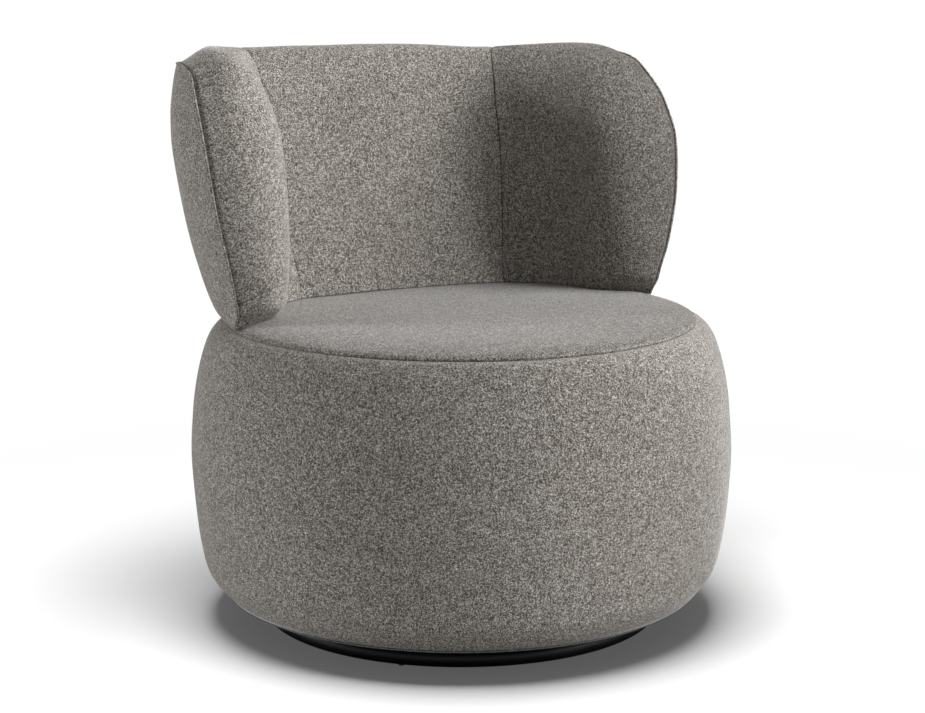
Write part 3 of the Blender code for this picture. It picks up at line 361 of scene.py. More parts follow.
def wool_tweed(name, settings, painted_shade_scale=1.0):
    """Wool blend tweed, woven from slub yarns of three greys.

    The eye gets light and dark specks on a loose grid of threads, with slubs of four or five
    threads up and across, and a pale fuzz where the cloth turns away. Threads are 1 mm apart.
    """
    material, tree, shader = new_surface(name, **{
        "Roughness": 0.9, "Specular IOR Level": 0.15, "Sheen Weight": settings.fuzz,
        "Sheen Roughness": 0.3, "Sheen Tint": linear("#ffffff"),
    })
    pitch = settings.thread
    weave = add_node(tree, "ShaderNodeUVMap", uv_map="weave").outputs["UV"]
    drift = add_node(tree, "ShaderNodeTexNoise", {
        "Vector": stretched(tree, weave, (DRIFT_SIZE, DRIFT_SIZE, 1.0)),
        "Scale": 1.0, "Detail": 2.0})
    shift = add_node(tree, "ShaderNodeVectorMath", {
        0: drift.outputs["Color"], "Scale": pitch * YARN_DRIFT}, operation="SCALE")
    threads = add_node(tree, "ShaderNodeVectorMath", {
        0: weave, 1: shift.outputs[0]}, operation="ADD").outputs[0]
    tone = 0.0
    for wide, tall, part in YARN_PICKS:
        pick = add_node(tree, "ShaderNodeTexVoronoi", {
            "Vector": stretched(tree, threads, (pitch * wide, pitch * tall, 1.0)),
            "Scale": 1.0, "Randomness": YARN_SCATTER}, voronoi_dimensions="2D")
        hue = add_node(tree, "ShaderNodeSeparateColor", {"Color": pick.outputs["Color"]})
        tone = combine(tree, "ADD", combine(tree, "MULTIPLY", hue.outputs["Red"], part), tone)
    yarns = ramp(tree, tone, ((YARN_STOPS[0], settings.dark_yarn), (0.50, settings.mid_yarn),
                              (YARN_STOPS[1], settings.light_yarn)))
    mottle = add_node(tree, "ShaderNodeTexNoise", {
        "Vector": stretched(tree, weave, (*MOTTLE_SIZE, 1.0)), "Scale": 1.0, "Detail": 4.0})
    # The whole cloth's tone is scaled by this share; below 1 it is painted shade, as on the hem's
    # darker copy.
    cloud = spread(tree, mottle.outputs["Fac"],
                   (1.0 - YARN_MOTTLE) * painted_shade_scale, (1.0 + YARN_MOTTLE) * painted_shade_scale)
    toned = add_node(tree, "ShaderNodeVectorMath", {0: yarns, "Scale": cloud}, operation="SCALE")
    feed(tree, shader, color=toned.outputs[0], height=tone,
         distance=pitch * YARN_RELIEF, strength=0.8)
    return material


def object_place(tree, sizes):
    """Object coordinates divided by a pattern's size in metres along each axis."""
    return stretched(tree, add_node(tree, "ShaderNodeTexCoord").outputs["Object"], sizes)


def object_noise(tree, sizes, detail=3.0, distortion=0.0):
    """Noise on Object coordinates with a size in metres along each axis."""
    return add_node(tree, "ShaderNodeTexNoise", {
        "Vector": object_place(tree, sizes), "Scale": 1.0, "Detail": detail,
        "Distortion": distortion}).outputs["Fac"]


def powder_coated_steel():
    """Steel tube in black powder coat: near black, satin, with a fine orange peel of about 1 mm."""
    material, tree, shader = new_surface("black_powder_coated_steel", **{
        "IOR": 1.5, "Specular IOR Level": 0.22})
    peel = object_noise(tree, (0.0011, 0.0011, 0.0011), detail=1.0)
    scuff = object_noise(tree, (0.030, 0.030, 0.006))
    feed(tree, shader, color=ramp(tree, scuff, ((0.35, "#090909"), (0.75, "#131313"))),
         roughness=spread(tree, scuff, 0.42, 0.54), height=peel, distance=0.00006)
    return material


def zinc_plated_steel():
    """Pressed or turned steel with bright zinc: pale blue grey with soft cloudy patches."""
    material, tree, shader = new_surface("bright_zinc_plated_steel", **{"Metallic": 1.0})
    cloud = object_noise(tree, (0.009, 0.009, 0.009))
    feed(tree, shader, color=ramp(tree, cloud, ((0.3, "#b4b9bd"), (0.7, "#cfd3d5"))),
         roughness=spread(tree, cloud, 0.26, 0.42))
    return material


def bearing_steel():
    """Ground and polished chrome steel balls: mirror bright, with the faintest smear of grease."""
    material, tree, shader = new_surface("polished_bearing_steel", **{"Metallic": 1.0})
    smear = object_noise(tree, (0.003, 0.003, 0.003))
    feed(tree, shader, color=ramp(tree, smear, ((0.3, "#d2d2d2"), (0.7, "#e2e2e4"))),
         roughness=spread(tree, smear, 0.06, 0.16))
    return material


def spring_steel():
    """Oil tempered spring wire: dark blue grey with drawn streaks along it."""
    material, tree, shader = new_surface("oil_tempered_spring_wire", **{"Metallic": 1.0})
    streak = object_noise(tree, (0.0010, 0.012, 0.0010))
    feed(tree, shader, color=ramp(tree, streak, ((0.3, "#4a4a4e"), (0.7, "#6e6e72"))),
         roughness=spread(tree, streak, 0.30, 0.48))
    return material


def moulded_plastic(name, low, high, roughness):
    """Injection moulded plastic with a fine spark-eroded texture of about 0.5 mm."""
    material, tree, shader = new_surface(name, **{"IOR": 1.5})
    grain = object_noise(tree, (0.0005, 0.0005, 0.0005), detail=1.0)
    tint = object_noise(tree, (0.02, 0.02, 0.02))
    feed(tree, shader, color=ramp(tree, tint, ((0.3, low), (0.7, high))),
         roughness=spread(tree, tint, roughness - 0.06, roughness + 0.06),
         height=grain, distance=0.00005)
    return material


def birch_plywood():
    """Birch plywood: pale face veneer with long grain, and plies on cut edges.

    The plies are drawn 3 mm thick, twice the real ones, so that they show.
    """
    material, tree, shader = new_surface("birch_plywood", **{"IOR": 1.5, "Specular IOR Level": 0.3})
    grain = object_noise(tree, (0.090, 0.003, 0.050), detail=5.0, distortion=0.4)
    plies = add_node(tree, "ShaderNodeTexWave", {
        "Vector": object_place(tree, (1.0, 1.0, 0.019)), "Scale": 1.0, "Distortion": 0.2},
        bands_direction="Z")
    normal = add_node(tree, "ShaderNodeNewGeometry").outputs["Normal"]
    facing = add_node(tree, "ShaderNodeSeparateXYZ", {"Vector": normal})
    edge = combine(tree, "LESS_THAN", combine(tree, "ABSOLUTE", facing.outputs["Z"], 0.0), 0.5)
    shade = add_node(tree, "ShaderNodeMix", {"Factor": edge, 2: grain, 3: plies.outputs["Fac"]})
    color = ramp(tree, shade.outputs[0], ((0.2, "#b08a5c"), (0.5, "#caa878"), (0.85, "#dcc197")))
    feed(tree, shader, color=color, roughness=spread(tree, grain, 0.55, 0.72), height=grain,
         distance=0.0002)
    return material


def planed_beech():
    """Planed beech rails: pinkish tan with upright grain and short dark flecks a few mm long."""
    material, tree, shader = new_surface("planed_beech", **{"IOR": 1.5, "Specular IOR Level": 0.3})
    grain = object_noise(tree, (0.004, 0.004, 0.120), detail=5.0, distortion=0.5)
    fleck = object_noise(tree, (0.0008, 0.0008, 0.0035), detail=1.0)
    flecked = combine(tree, "MULTIPLY", combine(tree, "GREATER_THAN", fleck, 0.66), 0.25)
    shade = combine(tree, "SUBTRACT", grain, flecked)
    color = ramp(tree, shade, ((0.15, "#8f6547"), (0.45, "#c39a72"), (0.8, "#d6b48c")))
    feed(tree, shader, color=color, roughness=spread(tree, grain, 0.5, 0.68), height=shade,
         distance=0.00015)
    return material


def hardboard():
    """Wet-pressed hardboard: even dark brown mat of fibres about 2 mm long, smooth on its face."""
    material, tree, shader = new_surface("pressed_hardboard", **{
        "IOR": 1.5, "Specular IOR Level": 0.3})
    fibre = object_noise(tree, (0.0022, 0.0022, 0.0016), detail=4.0, distortion=1.2)
    color = ramp(tree, fibre, ((0.25, "#4e3524"), (0.55, "#6d4c33"), (0.8, "#83603f")))
    feed(tree, shader, color=color, roughness=spread(tree, fibre, 0.5, 0.75), height=fibre,
         distance=0.0002)
    return material


def upholstery_foam():
    """Cut polyurethane foam: cream, quite matt, with open cells of about 1.5 mm whose hollows are
    darker by painted shade.
    """
    material, tree, shader = new_surface("cut_polyurethane_foam", **{
        "Roughness": 1.0, "Specular IOR Level": 0.1})
    cells = add_node(tree, "ShaderNodeTexVoronoi", {
        "Vector": object_place(tree, (0.0015, 0.0015, 0.0015)), "Scale": 1.0})
    tint = object_noise(tree, (0.06, 0.06, 0.06))
    # The cells' hollows are darker in colour, painted shade in the pores; the tint noise is the
    # foam's own uneven tone.
    shade = combine(tree, "ADD", combine(tree, "MULTIPLY", cells.outputs["Distance"], 0.5),
                    combine(tree, "MULTIPLY", tint, 0.5))
    feed(tree, shader, color=ramp(tree, shade, ((0.2, "#c9b988"), (0.7, "#e6dcb6"))),
         height=cells.outputs["Distance"], distance=0.0006)
    return material


def needled_felt():
    """Needled wool felt under the foam: mid grey mat of crossing fibres, quite matt."""
    material, tree, shader = new_surface("needled_wool_felt", **{
        "Roughness": 1.0, "Specular IOR Level": 0.1, "Sheen Weight": 0.2})
    fibre = object_noise(tree, (0.0016, 0.0045, 0.0020), detail=4.0, distortion=1.5)
    feed(tree, shader, color=ramp(tree, fibre, ((0.25, "#6b6b6d"), (0.75, "#a2a2a4"))),
         height=fibre, distance=0.0006)
    return material


def nonwoven_lining():
    """Spun-bonded black lining: a thin cloth with a grid of bonding dimples 2 mm apart."""
    material, tree, shader = new_surface("spun_bonded_lining", **{
        "Roughness": 0.9, "Specular IOR Level": 0.2})
    dimples = add_node(tree, "ShaderNodeTexVoronoi", {
        "Vector": object_place(tree, (0.002, 0.002, 0.002)), "Scale": 1.0, "Randomness": 0.0})
    tint = object_noise(tree, (0.010, 0.010, 0.010))
    feed(tree, shader, color=ramp(tree, tint, ((0.3, "#17171a"), (0.7, "#25252a"))),
         height=dimples.outputs["Distance"], distance=0.0004)
    return material


def bonded_thread():
    """Bonded nylon sewing thread: dark grey, with the twist's faint stripes about 0.5 mm apart."""
    material, tree, shader = new_surface("bonded_nylon_thread", **{
        "Roughness": 0.6, "Specular IOR Level": 0.3})
    twist = add_node(tree, "ShaderNodeTexWave", {
        "Vector": object_place(tree, (0.0012, 0.0012, 0.0012)), "Scale": 1.0},
        bands_direction="DIAGONAL")
    feed(tree, shader, color=ramp(tree, twist.outputs["Fac"], ((0.2, "#2b2927"), (0.8, "#45423e"))))
    return material


CAD_FINISHES = {
    "black_steel": powder_coated_steel,
    "zinc_steel": zinc_plated_steel,
    "bearing_steel": bearing_steel,
    "spring_steel": spring_steel,
    "nylon": lambda: moulded_plastic("natural_nylon", "#d8d5c8", "#e4e1d6", 0.45),
    "black_plastic": lambda: moulded_plastic("black_polypropylene", "#101010", "#1b1b1b", 0.5),
    "plywood": birch_plywood,
    "beech": planed_beech,
    "hardboard": hardboard,
}


# Shapes shared with the CAD

def smooth_row(rows, place):
    """Read a table at a place in its first column, along a smooth curve through its rows."""
    last = len(rows) - 1
    index = 0
    while index < last - 1 and place > rows[index + 1][0]:
        index += 1
    before = rows[max(index - 1, 0)]
    start = rows[index]
    end = rows[index + 1]
    after = rows[min(index + 2, last)]
    span = end[0] - start[0]
    share = min(max((place - start[0]) / span, 0.0), 1.0)
    values = []
    for column in range(1, len(start)):
        slope_in = (end[column] - before[column]) / (end[0] - before[0]) * span
        slope_out = (after[column] - start[column]) / (after[0] - start[0]) * span
        cubic = share ** 3
        square = share ** 2
        values.append((2 * cubic - 3 * square + 1) * start[column]
                      + (cubic - 2 * square + share) * slope_in
                      + (3 * square - 2 * cubic) * end[column] + (cubic - square) * slope_out)
    return values


def drum_radius(share):
    """Outer radius of the drum at a share of the height from hem to seam."""
    return DRUM_RADIUS * smooth_row(DRUM_SHARES, share)[0]


def drum_height(share):
    """Height over the floor at a share of the way from hem to seam."""
    return HEM_LOW.z + (SEAM_HEIGHT - HEM_LOW.z) * share


def drum_share(height):
    """Share of the way from hem to seam at a height over the floor."""
    return (height - HEM_LOW.z) / (SEAM_HEIGHT - HEM_LOW.z)


def seat_height(radius, inset=0.0):
    """Height of the crowned seat at a distance from the axis, on the surface or under its cover."""
    reach = min(radius / (SEAM_RADIUS - inset), 1.0)
    return SEAM_HEIGHT - inset + SEAT_CROWN * (1.0 - reach * reach) ** SEAT_CROWN_POWER


def outer_plan(height):
    """Half-width, centre and half-depth of the back's outer plan at a share of the rise."""
    wide, shift, deep = smooth_row(OUTER_SHARES, height)
    half_width = SEAM_RADIUS + (BACK_HALF_WIDTH - SEAM_RADIUS) * wide
    centre = BACK_CENTRE_SHIFT * shift
    half_depth = SEAM_RADIUS + (BACK_REACH - SEAM_RADIUS) * deep - centre
    return half_width, centre, half_depth


def outer_point(angle, height):
    """Point of the back's outer surface at an angle in degrees and a share of the rise."""
    half_width, centre, half_depth = outer_plan(height)
    turn = math.radians(angle)
    return Vector((half_width * math.sin(turn), centre + half_depth * math.cos(turn),
                   SEAM_HEIGHT + BACK_RISE * height))


def seam_angle(height):
    """Angle of the inner seam at a height."""
    return SEAM_ANGLE_SEAT + (SEAM_ANGLE_TOP - SEAM_ANGLE_SEAT) * min(max(height, 0.0), 1.0)


def inner_point(angle, height):
    """Point of the back's inner surface that faces the outer point of the same angle and height."""
    waist, lean = smooth_row(INNER_SHARES, height)
    half_width = INNER_HALF_WIDTH - INNER_WAIST * waist
    half_depth = INNER_DEPTH + INNER_LEAN * lean - INNER_CENTRE
    outside = outer_point(angle, height)
    aim = outside - Vector((0.0, INNER_CENTRE, 0.0))
    wide = abs(aim.x) / half_width
    deep = max(aim.y, 0.0) / half_depth
    size = (wide ** INNER_SQUARENESS + deep ** INNER_SQUARENESS) ** (-1.0 / INNER_SQUARENESS)
    point = Vector((aim.x * size, INNER_CENTRE + aim.y * size, outside.z))
    away = (outside - point).normalized()
    turn = (abs(angle) - seam_angle(height)) / SEAM_VALLEY_ANGLE
    return point + away * SEAM_VALLEY * math.exp(-turn * turn)


def edge_place(column, row):
    """Side, angle, height, turn of the roll, slant and ring of a column and row at the outline."""
    side = 1.0 if column <= COLUMNS / 2 else -1.0
    across = min(column, COLUMNS - column)
    under = ROWS - row
    ring = min(across, under, ROLL_STEPS)
    if across <= under and across < ROLL_STEPS or across <= ROLL_STEPS and under >= ROLL_STEPS:
        height = CORNER_HEIGHT_SHARE * (row / (ROWS - ring)) ** EDGE_ROW_POWER
        angle, roll, slant = smooth_row(EDGE_SHARES, height)
        return side, angle, height, roll, slant, ring
    if across <= SEAM_COLUMN:
        share = (across - ring) / (SEAM_COLUMN - ring)
        angle = CORNER_ANGLE + (SEAM_ANGLE_TOP - CORNER_ANGLE) * share
    else:
        share = (across - SEAM_COLUMN) / (COLUMNS / 2 - SEAM_COLUMN)
        angle = SEAM_ANGLE_TOP * (1.0 - share)
    height, roll = smooth_row(TOP_SHARES, angle)
    return side, angle, height, roll, 1.0, ring


def rolled_place(column, row, inset, bulged):
    """Side, angle, height and share of the thickness at a column and row of the roll."""
    side, angle, height, roll, slant, ring = edge_place(column, row)
    turn = math.pi / 2 * ring / ROLL_STEPS
    down = math.radians(roll)
    topness = roll / 90.0
    depth = SIDE_ROLL_DEPTH + (TOP_ROLL_DEPTH - SIDE_ROLL_DEPTH) * topness
    bulge = SIDE_ROLL_BULGE + (TOP_ROLL_BULGE - SIDE_ROLL_BULGE) * topness
    inward = inset * slant * math.cos(turn) + depth * (1.0 - math.cos(turn))
    if bulged:
        inward -= bulge * math.sin(2.0 * turn)
    angle -= math.degrees(inward * math.cos(down) / outer_plan(height)[2])
    height -= inward * math.sin(down) / BACK_RISE
    return side, angle, height, math.sin(turn)


def face_place(column, row, inset, bulged):
    """Signed angle and height inside the roll, blended from the edges of the face."""
    first = ROLL_STEPS
    last_row = ROWS - ROLL_STEPS
    side = 1.0 if column <= COLUMNS / 2 else -1.0
    across = min(column, COLUMNS - column)
    up = (row / last_row) ** EDGE_ROW_POWER
    nearness = max(1.0 - (across - first) / (SEAM_COLUMN - first), 0.0)
    _, edge_foot, foot_height, _ = rolled_place(first, 0, inset, bulged)
    _, edge, edge_height, _ = rolled_place(first, row, inset, bulged)
    _, edge_top, corner_height, _ = rolled_place(first, last_row, inset, bulged)
    _, top, top_height, _ = rolled_place(across, last_row, inset, bulged)
    if across <= SEAM_COLUMN:
        foot = SEAM_ANGLE_SEAT + (edge_foot - SEAM_ANGLE_SEAT) * nearness
    else:
        foot = SEAM_ANGLE_SEAT * (COLUMNS / 2 - across) / (COLUMNS / 2 - SEAM_COLUMN)
    angle = foot * (1.0 - up) + top * up
    angle += nearness * (edge - edge_foot * (1.0 - up) - edge_top * up)
    height = top_height * up
    height += nearness * (edge_height - foot_height * (1.0 - up) - corner_height * up)
    return side * angle, height


def pad_place(column, row, inset, full):
    """Signed angle, height and share of the thickness at a column and row of a pad surface."""
    across = min(column, COLUMNS - column)
    if across >= ROLL_STEPS and ROWS - row >= ROLL_STEPS:
        angle, height = face_place(column, row, inset, full)
        return angle, height, 1.0
    side, angle, height, share = rolled_place(column, row, inset, full)
    return side * angle, height, share


def pad_blend(angle, height, share, depth_out, depth_in, full):
    """Point between the outer and the inner surface, each pushed in by its depth."""
    outside = outer_point(angle, height)
    inside = inner_point(angle, height)
    inward = (inside - outside).normalized()
    outside = outside + inward * depth_out
    inside = inside - inward * depth_in
    return outside.lerp(inside, share) if full else outside


def foot_lift(column, inset, depth_out, depth_in, seat_gap, full):
    """How far the lowest row is lifted onto the crowned seat, as a share of the rise."""
    angle, height, share = pad_place(column, 0, inset, full)
    lift = 0.0
    for _ in range(LIFT_ROUNDS):
        foot = pad_blend(angle, height + lift, share, depth_out, depth_in, full)
        wanted = (seat_height(math.hypot(foot.x, foot.y)) + seat_gap - SEAM_HEIGHT) / BACK_RISE
        lift += (wanted - lift) / 2
    return lift


def pad_grid(columns, rows, inset, depth_out, depth_in, seat_gap, full):
    """Rows of points of one surface of the back's padding."""
    lifts = [foot_lift(column, inset, depth_out, depth_in, seat_gap, full) for column in columns]
    grid = []
    for row in rows:
        line = []
        for column, lift in zip(columns, lifts):
            angle, height, share = pad_place(column, row, inset, full)
            height += lift * (1.0 - row / ROWS) ** LIFT_POWER
            point = pad_blend(angle, height, share, depth_out, depth_in, full)
            if full:
                point.z += stuffing_rise(column, row)
            line.append(point)
        grid.append(line)
    return grid


def stuffing_rise(column, row):
    """How much fuller the padding stands along the top of either wing, in metres."""
    left = column > COLUMNS / 2
    rise, fade, start = LEFT_STUFFING if left else RIGHT_STUFFING
    across = min(column, COLUMNS - column)
    above = ease((row - STUFFING_ROW) / STUFFING_ROW_FADE)
    beyond = ease((column - start if left else start - column) / STUFFING_COLUMN_FADE)
    return rise * (ease((ROWS - row) / fade) * above * ease(across / fade)) * beyond


# Mesh building

def select_only(thing=None):
    """Deselect everything, then select and activate one object."""
    for other in bpy.context.view_layer.objects:
        other.select_set(False)
    bpy.context.view_layer.objects.active = thing
    if thing:
        thing.select_set(True)


def new_piece(name, mesh, material, body, replaced=()):
    """An object at the origin that rides on a body and stands for CAD nodes."""
    mesh.name = name
    thing = bpy.data.objects.new(name, mesh)
    bpy.context.scene.collection.objects.link(thing)
    finish_piece(thing, material, body, replaced)
    return thing


def finish_piece(thing, material, body, replaced=()):
    """Give a made object its material, smooth shading and body, and hide the CAD nodes that it
    stands for.
    """
    thing.data.materials.clear()
    thing.data.materials.append(material)
    thing.data.shade_smooth()
    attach(thing, body)
    if replaced:
        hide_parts(*replaced)


def lengths_along(points):
    """Running length in metres through a list of points."""
    total = 0.0
    run = [0.0]
    for start, end in zip(points, points[1:]):
        total += (end - start).length
        run.append(total)
    return run


def weave_places(grid, middle=None):
    """Place of each grid point on the cloth in metres, across from a middle column and up."""
    middle = len(grid[0]) // 2 if middle is None else middle
    across = []
    for line in grid:
        run = lengths_along(line)
        across.append([place - run[middle] for place in run])
    upward = list(zip(*[lengths_along(list(line)) for line in zip(*grid)]))
    return [[(u, v) for u, v in zip(us, vs)] for us, vs in zip(across, upward)]


def relaxed_places(grid, places):
    """Even out a cloth's map until its threads keep their real spacing over the whole surface."""
    points = numpy.array([[tuple(point) for point in line] for line in grid])
    spots = numpy.array(places)
    high, wide = spots.shape[:2]
    links = []
    for up, over in ((0, 1), (1, 0), (1, 1), (1, -1)):
        start = (slice(0, high - up), slice(max(-over, 0), wide - max(over, 0)))
        end = (slice(up, high), slice(max(over, 0), wide + min(over, 0)))
        links.append((start, end, numpy.linalg.norm(points[end] - points[start], axis=2)))
    for _ in range(RELAX_ROUNDS):
        moves = numpy.zeros_like(spots)
        for start, end, length in links:
            gap = spots[end] - spots[start]
            reach = numpy.maximum(numpy.linalg.norm(gap, axis=2), 1e-9)
            pull = gap * ((reach - length) / reach)[..., None] / 2
            moves[start] += pull
            moves[end] -= pull
        spots += moves / len(links)
    return spots.tolist()


def add_grid(shape, weave, grid, places, closed=False):
    """Add quads over a grid of points with their place on the cloth; returns its vertices."""
    made = [[shape.verts.new(point) for point in line] for line in grid]
    count = len(grid[0])
    last = count if closed else count - 1
    for row in range(len(grid) - 1):
        for column in range(last):
            after = (column + 1) % count
            corners = ((row, column, column), (row, after, column + 1),
                       (row + 1, after, column + 1), (row + 1, column, column))
            face = shape.faces.new([made[r][c] for r, c, _ in corners])
            for loop, (r, _, c) in zip(face.loops, corners):
                loop[weave].uv = places[r][c]
    return made


def mesh_of(shape, name):
    """Turn all faces outwards and make a mesh of the shape."""
    bmesh.ops.recalc_face_normals(shape, faces=shape.faces)
    mesh = bpy.data.meshes.new(name)
    shape.to_mesh(mesh)
    shape.free()
    return mesh


def close_mesh(shape, name):
    """Merge doubles, drop edges without a face and bridge two open rims."""
    bmesh.ops.remove_doubles(shape, verts=shape.verts, dist=MERGE_DISTANCE)
    stray = [edge for edge in shape.edges if not edge.link_faces]
    bmesh.ops.delete(shape, geom=stray, context="EDGES")
    rims = [edge for edge in shape.edges if edge.is_boundary]
    if rims:
        bmesh.ops.bridge_loops(shape, edges=rims)
    return mesh_of(shape, name)


def padded_mesh(name, front, back, middle=None):
    """A closed cover between a front and a back grid of the same counts, with its weave map."""
    shape = bmesh.new()
    weave = shape.loops.layers.uv.new("weave")
    places = relaxed_places(front, weave_places(front, middle))
    add_grid(shape, weave, front, places)
    add_grid(shape, weave, back, places)
    return close_mesh(shape, name)


def turned_mesh(name, profile, steps, relief=None, flat_weave=False):
    """A closed body turned about the axis from a closed profile of radius and height.

    relief gives how far out and up a point moves, by its radius, height and angle. The weave runs
    round and up. With flat_weave it lies as on a flat disc, measured along the surface from the
    middle, so that the steep rim doesn't draw it out.
    """
    shape = bmesh.new()
    weave = shape.loops.layers.uv.new("weave")
    closed = profile + [profile[0]]
    run = lengths_along([Vector((radius, 0.0, height)) for radius, height in closed])
    grid = []
    places = []
    for (radius, height), along in zip(closed, run):
        line = []
        spots = []
        for step in range(steps + 1):
            turn = math.tau * step / steps
            out, rise = relief(radius, height, turn % math.tau) if relief else (0.0, 0.0)
            reach = radius + out
            point = Vector((reach * math.sin(turn), reach * math.cos(turn), height + rise))
            line.append(point)
            flat = (along * math.sin(turn), along * math.cos(turn))
            spots.append(flat if flat_weave else (turn * DRUM_RADIUS, along))
        grid.append(line[:steps])
        places.append(spots)
    add_grid(shape, weave, grid, places, closed=True)
    return close_mesh(shape, name)


def ease(value):
    """Smooth step from 0 to 1."""
    value = min(max(value, 0.0), 1.0)
    return value * value * (3.0 - 2.0 * value)


def uneven(point, size, depth):
    """Soft unevenness of padding: a signed move at a point."""
    return noise.noise(point / size) * depth


# Settings that a user would change

class UpholsterySettings(bpy.types.PropertyGroup):
    """The cloth's yarns and nap"""
    dark_yarn: bpy.props.StringProperty(
        name="Dark yarn", description="Hex colour of the dark yarn", default="#2c2720")
    mid_yarn: bpy.props.StringProperty(
        name="Mid yarn", description="Hex colour of the main yarn", default="#746e67")
    light_yarn: bpy.props.StringProperty(
        name="Light yarn", description="Hex colour of the light slubs", default="#e3dfd9")
    thread: bpy.props.FloatProperty(
        name="Thread spacing", description="Distance between neighbouring threads",
        default=0.0010, min=0.0005, max=0.01, precision=4, unit="LENGTH", subtype="DISTANCE")
    fuzz: bpy.props.FloatProperty(
        name="Fuzz", description="How much the nap brightens turned-away cloth",
        default=0.45, min=0.0, max=1.0, subtype="FACTOR")


class SeamSettings(bpy.types.PropertyGroup):
    """Grooves and puckers along the seams, and the padding's waves between them"""
    groove_depth: bpy.props.FloatProperty(
        name="Groove depth", description="How deep a sewn seam sinks into the pad",
        default=0.0015, min=0.0, max=0.01, precision=4, unit="LENGTH", subtype="DISTANCE")
    groove_reach: bpy.props.FloatProperty(
        name="Groove reach", description="How far from a seam the cover starts to sink",
        default=0.009, min=0.001, max=0.03, precision=4, unit="LENGTH", subtype="DISTANCE")
    pucker_pitch: bpy.props.FloatProperty(
        name="Pucker pitch", description="Distance between puckers along a seam",
        default=0.013, min=0.004, max=0.05, precision=4, unit="LENGTH", subtype="DISTANCE")
    pucker_depth: bpy.props.FloatProperty(
        name="Pucker depth", description="Height of the puckers along a seam",
        default=0.00004, min=0.0, max=0.004, precision=5, unit="LENGTH", subtype="DISTANCE")
    unevenness: bpy.props.FloatProperty(
        name="Unevenness", description="Soft waves of the padding under the cloth",
        default=0.0012, min=0.0, max=0.006, precision=4, unit="LENGTH", subtype="DISTANCE")


class HemSettings(bpy.types.PropertyGroup):
    """The hem's sewing thread"""
    stitch: bpy.props.FloatProperty(
        name="Stitch length", description="Length of one hem stitch",
        default=0.0042, min=0.002, max=0.01, precision=4, unit="LENGTH", subtype="DISTANCE")
    thread: bpy.props.FloatProperty(
        name="Thread radius", description="Radius of the sewing thread",
        default=0.0005, min=0.0002, max=0.001, precision=4, unit="LENGTH", subtype="DISTANCE")


class StageSettings(bpy.types.PropertyGroup):
    """The lamps' brightness and the floor's size"""
    power: bpy.props.FloatProperty(
        name="Lamp power", description="Brightness of all the lamps together",
        default=1.0, min=0.0, max=4.0)
    floor_radius: bpy.props.FloatProperty(
        name="Floor radius", description="Radius of the round floor",
        default=6.0, min=1.0, unit="LENGTH", subtype="DISTANCE")


# Pieces

def seam_sink(gap, seams):
    """How deep a cover sinks into the pad at a distance from a seam."""
    return seams.groove_depth * max(1.0 - gap / seams.groove_reach, 0.0) ** 2


def seam_crease(gap):
    """How far a turned cover dips further in the seat seam's tight crease, whose line is dark."""
    return CREASE_DEPTH * max(1.0 - gap / CREASE_REACH, 0.0) ** 2


def seam_relief(radius, height, turn, seams):
    """How far a turned cover moves out: puckers beside the seat seam, soft waves elsewhere."""
    gap = math.hypot(radius - SEAM_RADIUS, height - SEAM_HEIGHT)
    place = Vector((radius * math.sin(turn), radius * math.cos(turn), height))
    near = 1.0 - ease(gap / (seams.groove_reach * TURNED_PUCKER_REACH))
    around = Vector((math.sin(turn), math.cos(turn), 0.0)) * SEAM_RADIUS
    beat = noise.noise(around / seams.pucker_pitch)
    pucker = beat * seams.pucker_depth * near * min(gap / PUCKER_START, 1.0)
    wave = uneven(place, TURNED_WAVE_SIZE, seams.unevenness) * ease(gap / TURNED_WAVE_FADE)
    return pucker + wave


class CHAIR_OT_drum(bpy.types.Operator):
    """Make the drum's side cover with its seam edge"""
    bl_idname = "chair.make_drum"
    bl_label = "Drum Cover"

    def execute(self, context):
        seams = context.scene.chair_seams
        cloth = bpy.data.materials["slub_wool_tweed"]
        hem_share = drum_share(DRUM_LOW.z)
        outside = []
        for step in range(DRUM_STEPS + 1):
            crowded = 1.0 - (1.0 - step / DRUM_STEPS) ** DRUM_CROWDING
            share = hem_share + (1.0 - hem_share) * crowded
            radius = drum_radius(share)
            height = drum_height(share)
            gap = math.hypot(radius - SEAM_RADIUS, height - SEAM_HEIGHT)
            sink = seam_sink(gap, seams) + seam_crease(gap)
            outside.append((radius - sink * SEAM_SLOPE, height - sink * SEAM_SLOPE))
        top_radius, top_height = outside[-1]
        lip = (top_radius - SEAM_LIP, top_height - SEAM_LIP)
        inner_top = (SEAM_RADIUS - DRUM_COVER, SEAM_HEIGHT - DRUM_COVER - SOFT_GAP)
        inside = []
        for share in (*DRUM_LINING_SHARES, hem_share):
            inside.append((drum_radius(share) - DRUM_COVER, drum_height(share)))
        profile = outside + [lip, inner_top] + inside

        def relief(radius, height, turn):
            if radius < drum_radius(drum_share(height)) - DRUM_COVER / 2:
                return 0.0, 0.0
            fade = ease((height - DRUM_LOW.z) / HEM_WAVE_FADE)
            return seam_relief(radius, height, turn, seams) * fade, 0.0

        mesh = turned_mesh("drum_side_cover", profile, TURN_STEPS, relief)
        thing = new_piece("drum_side_cover", mesh, cloth, "chair", ["drum_cover"])
        return {"FINISHED"}


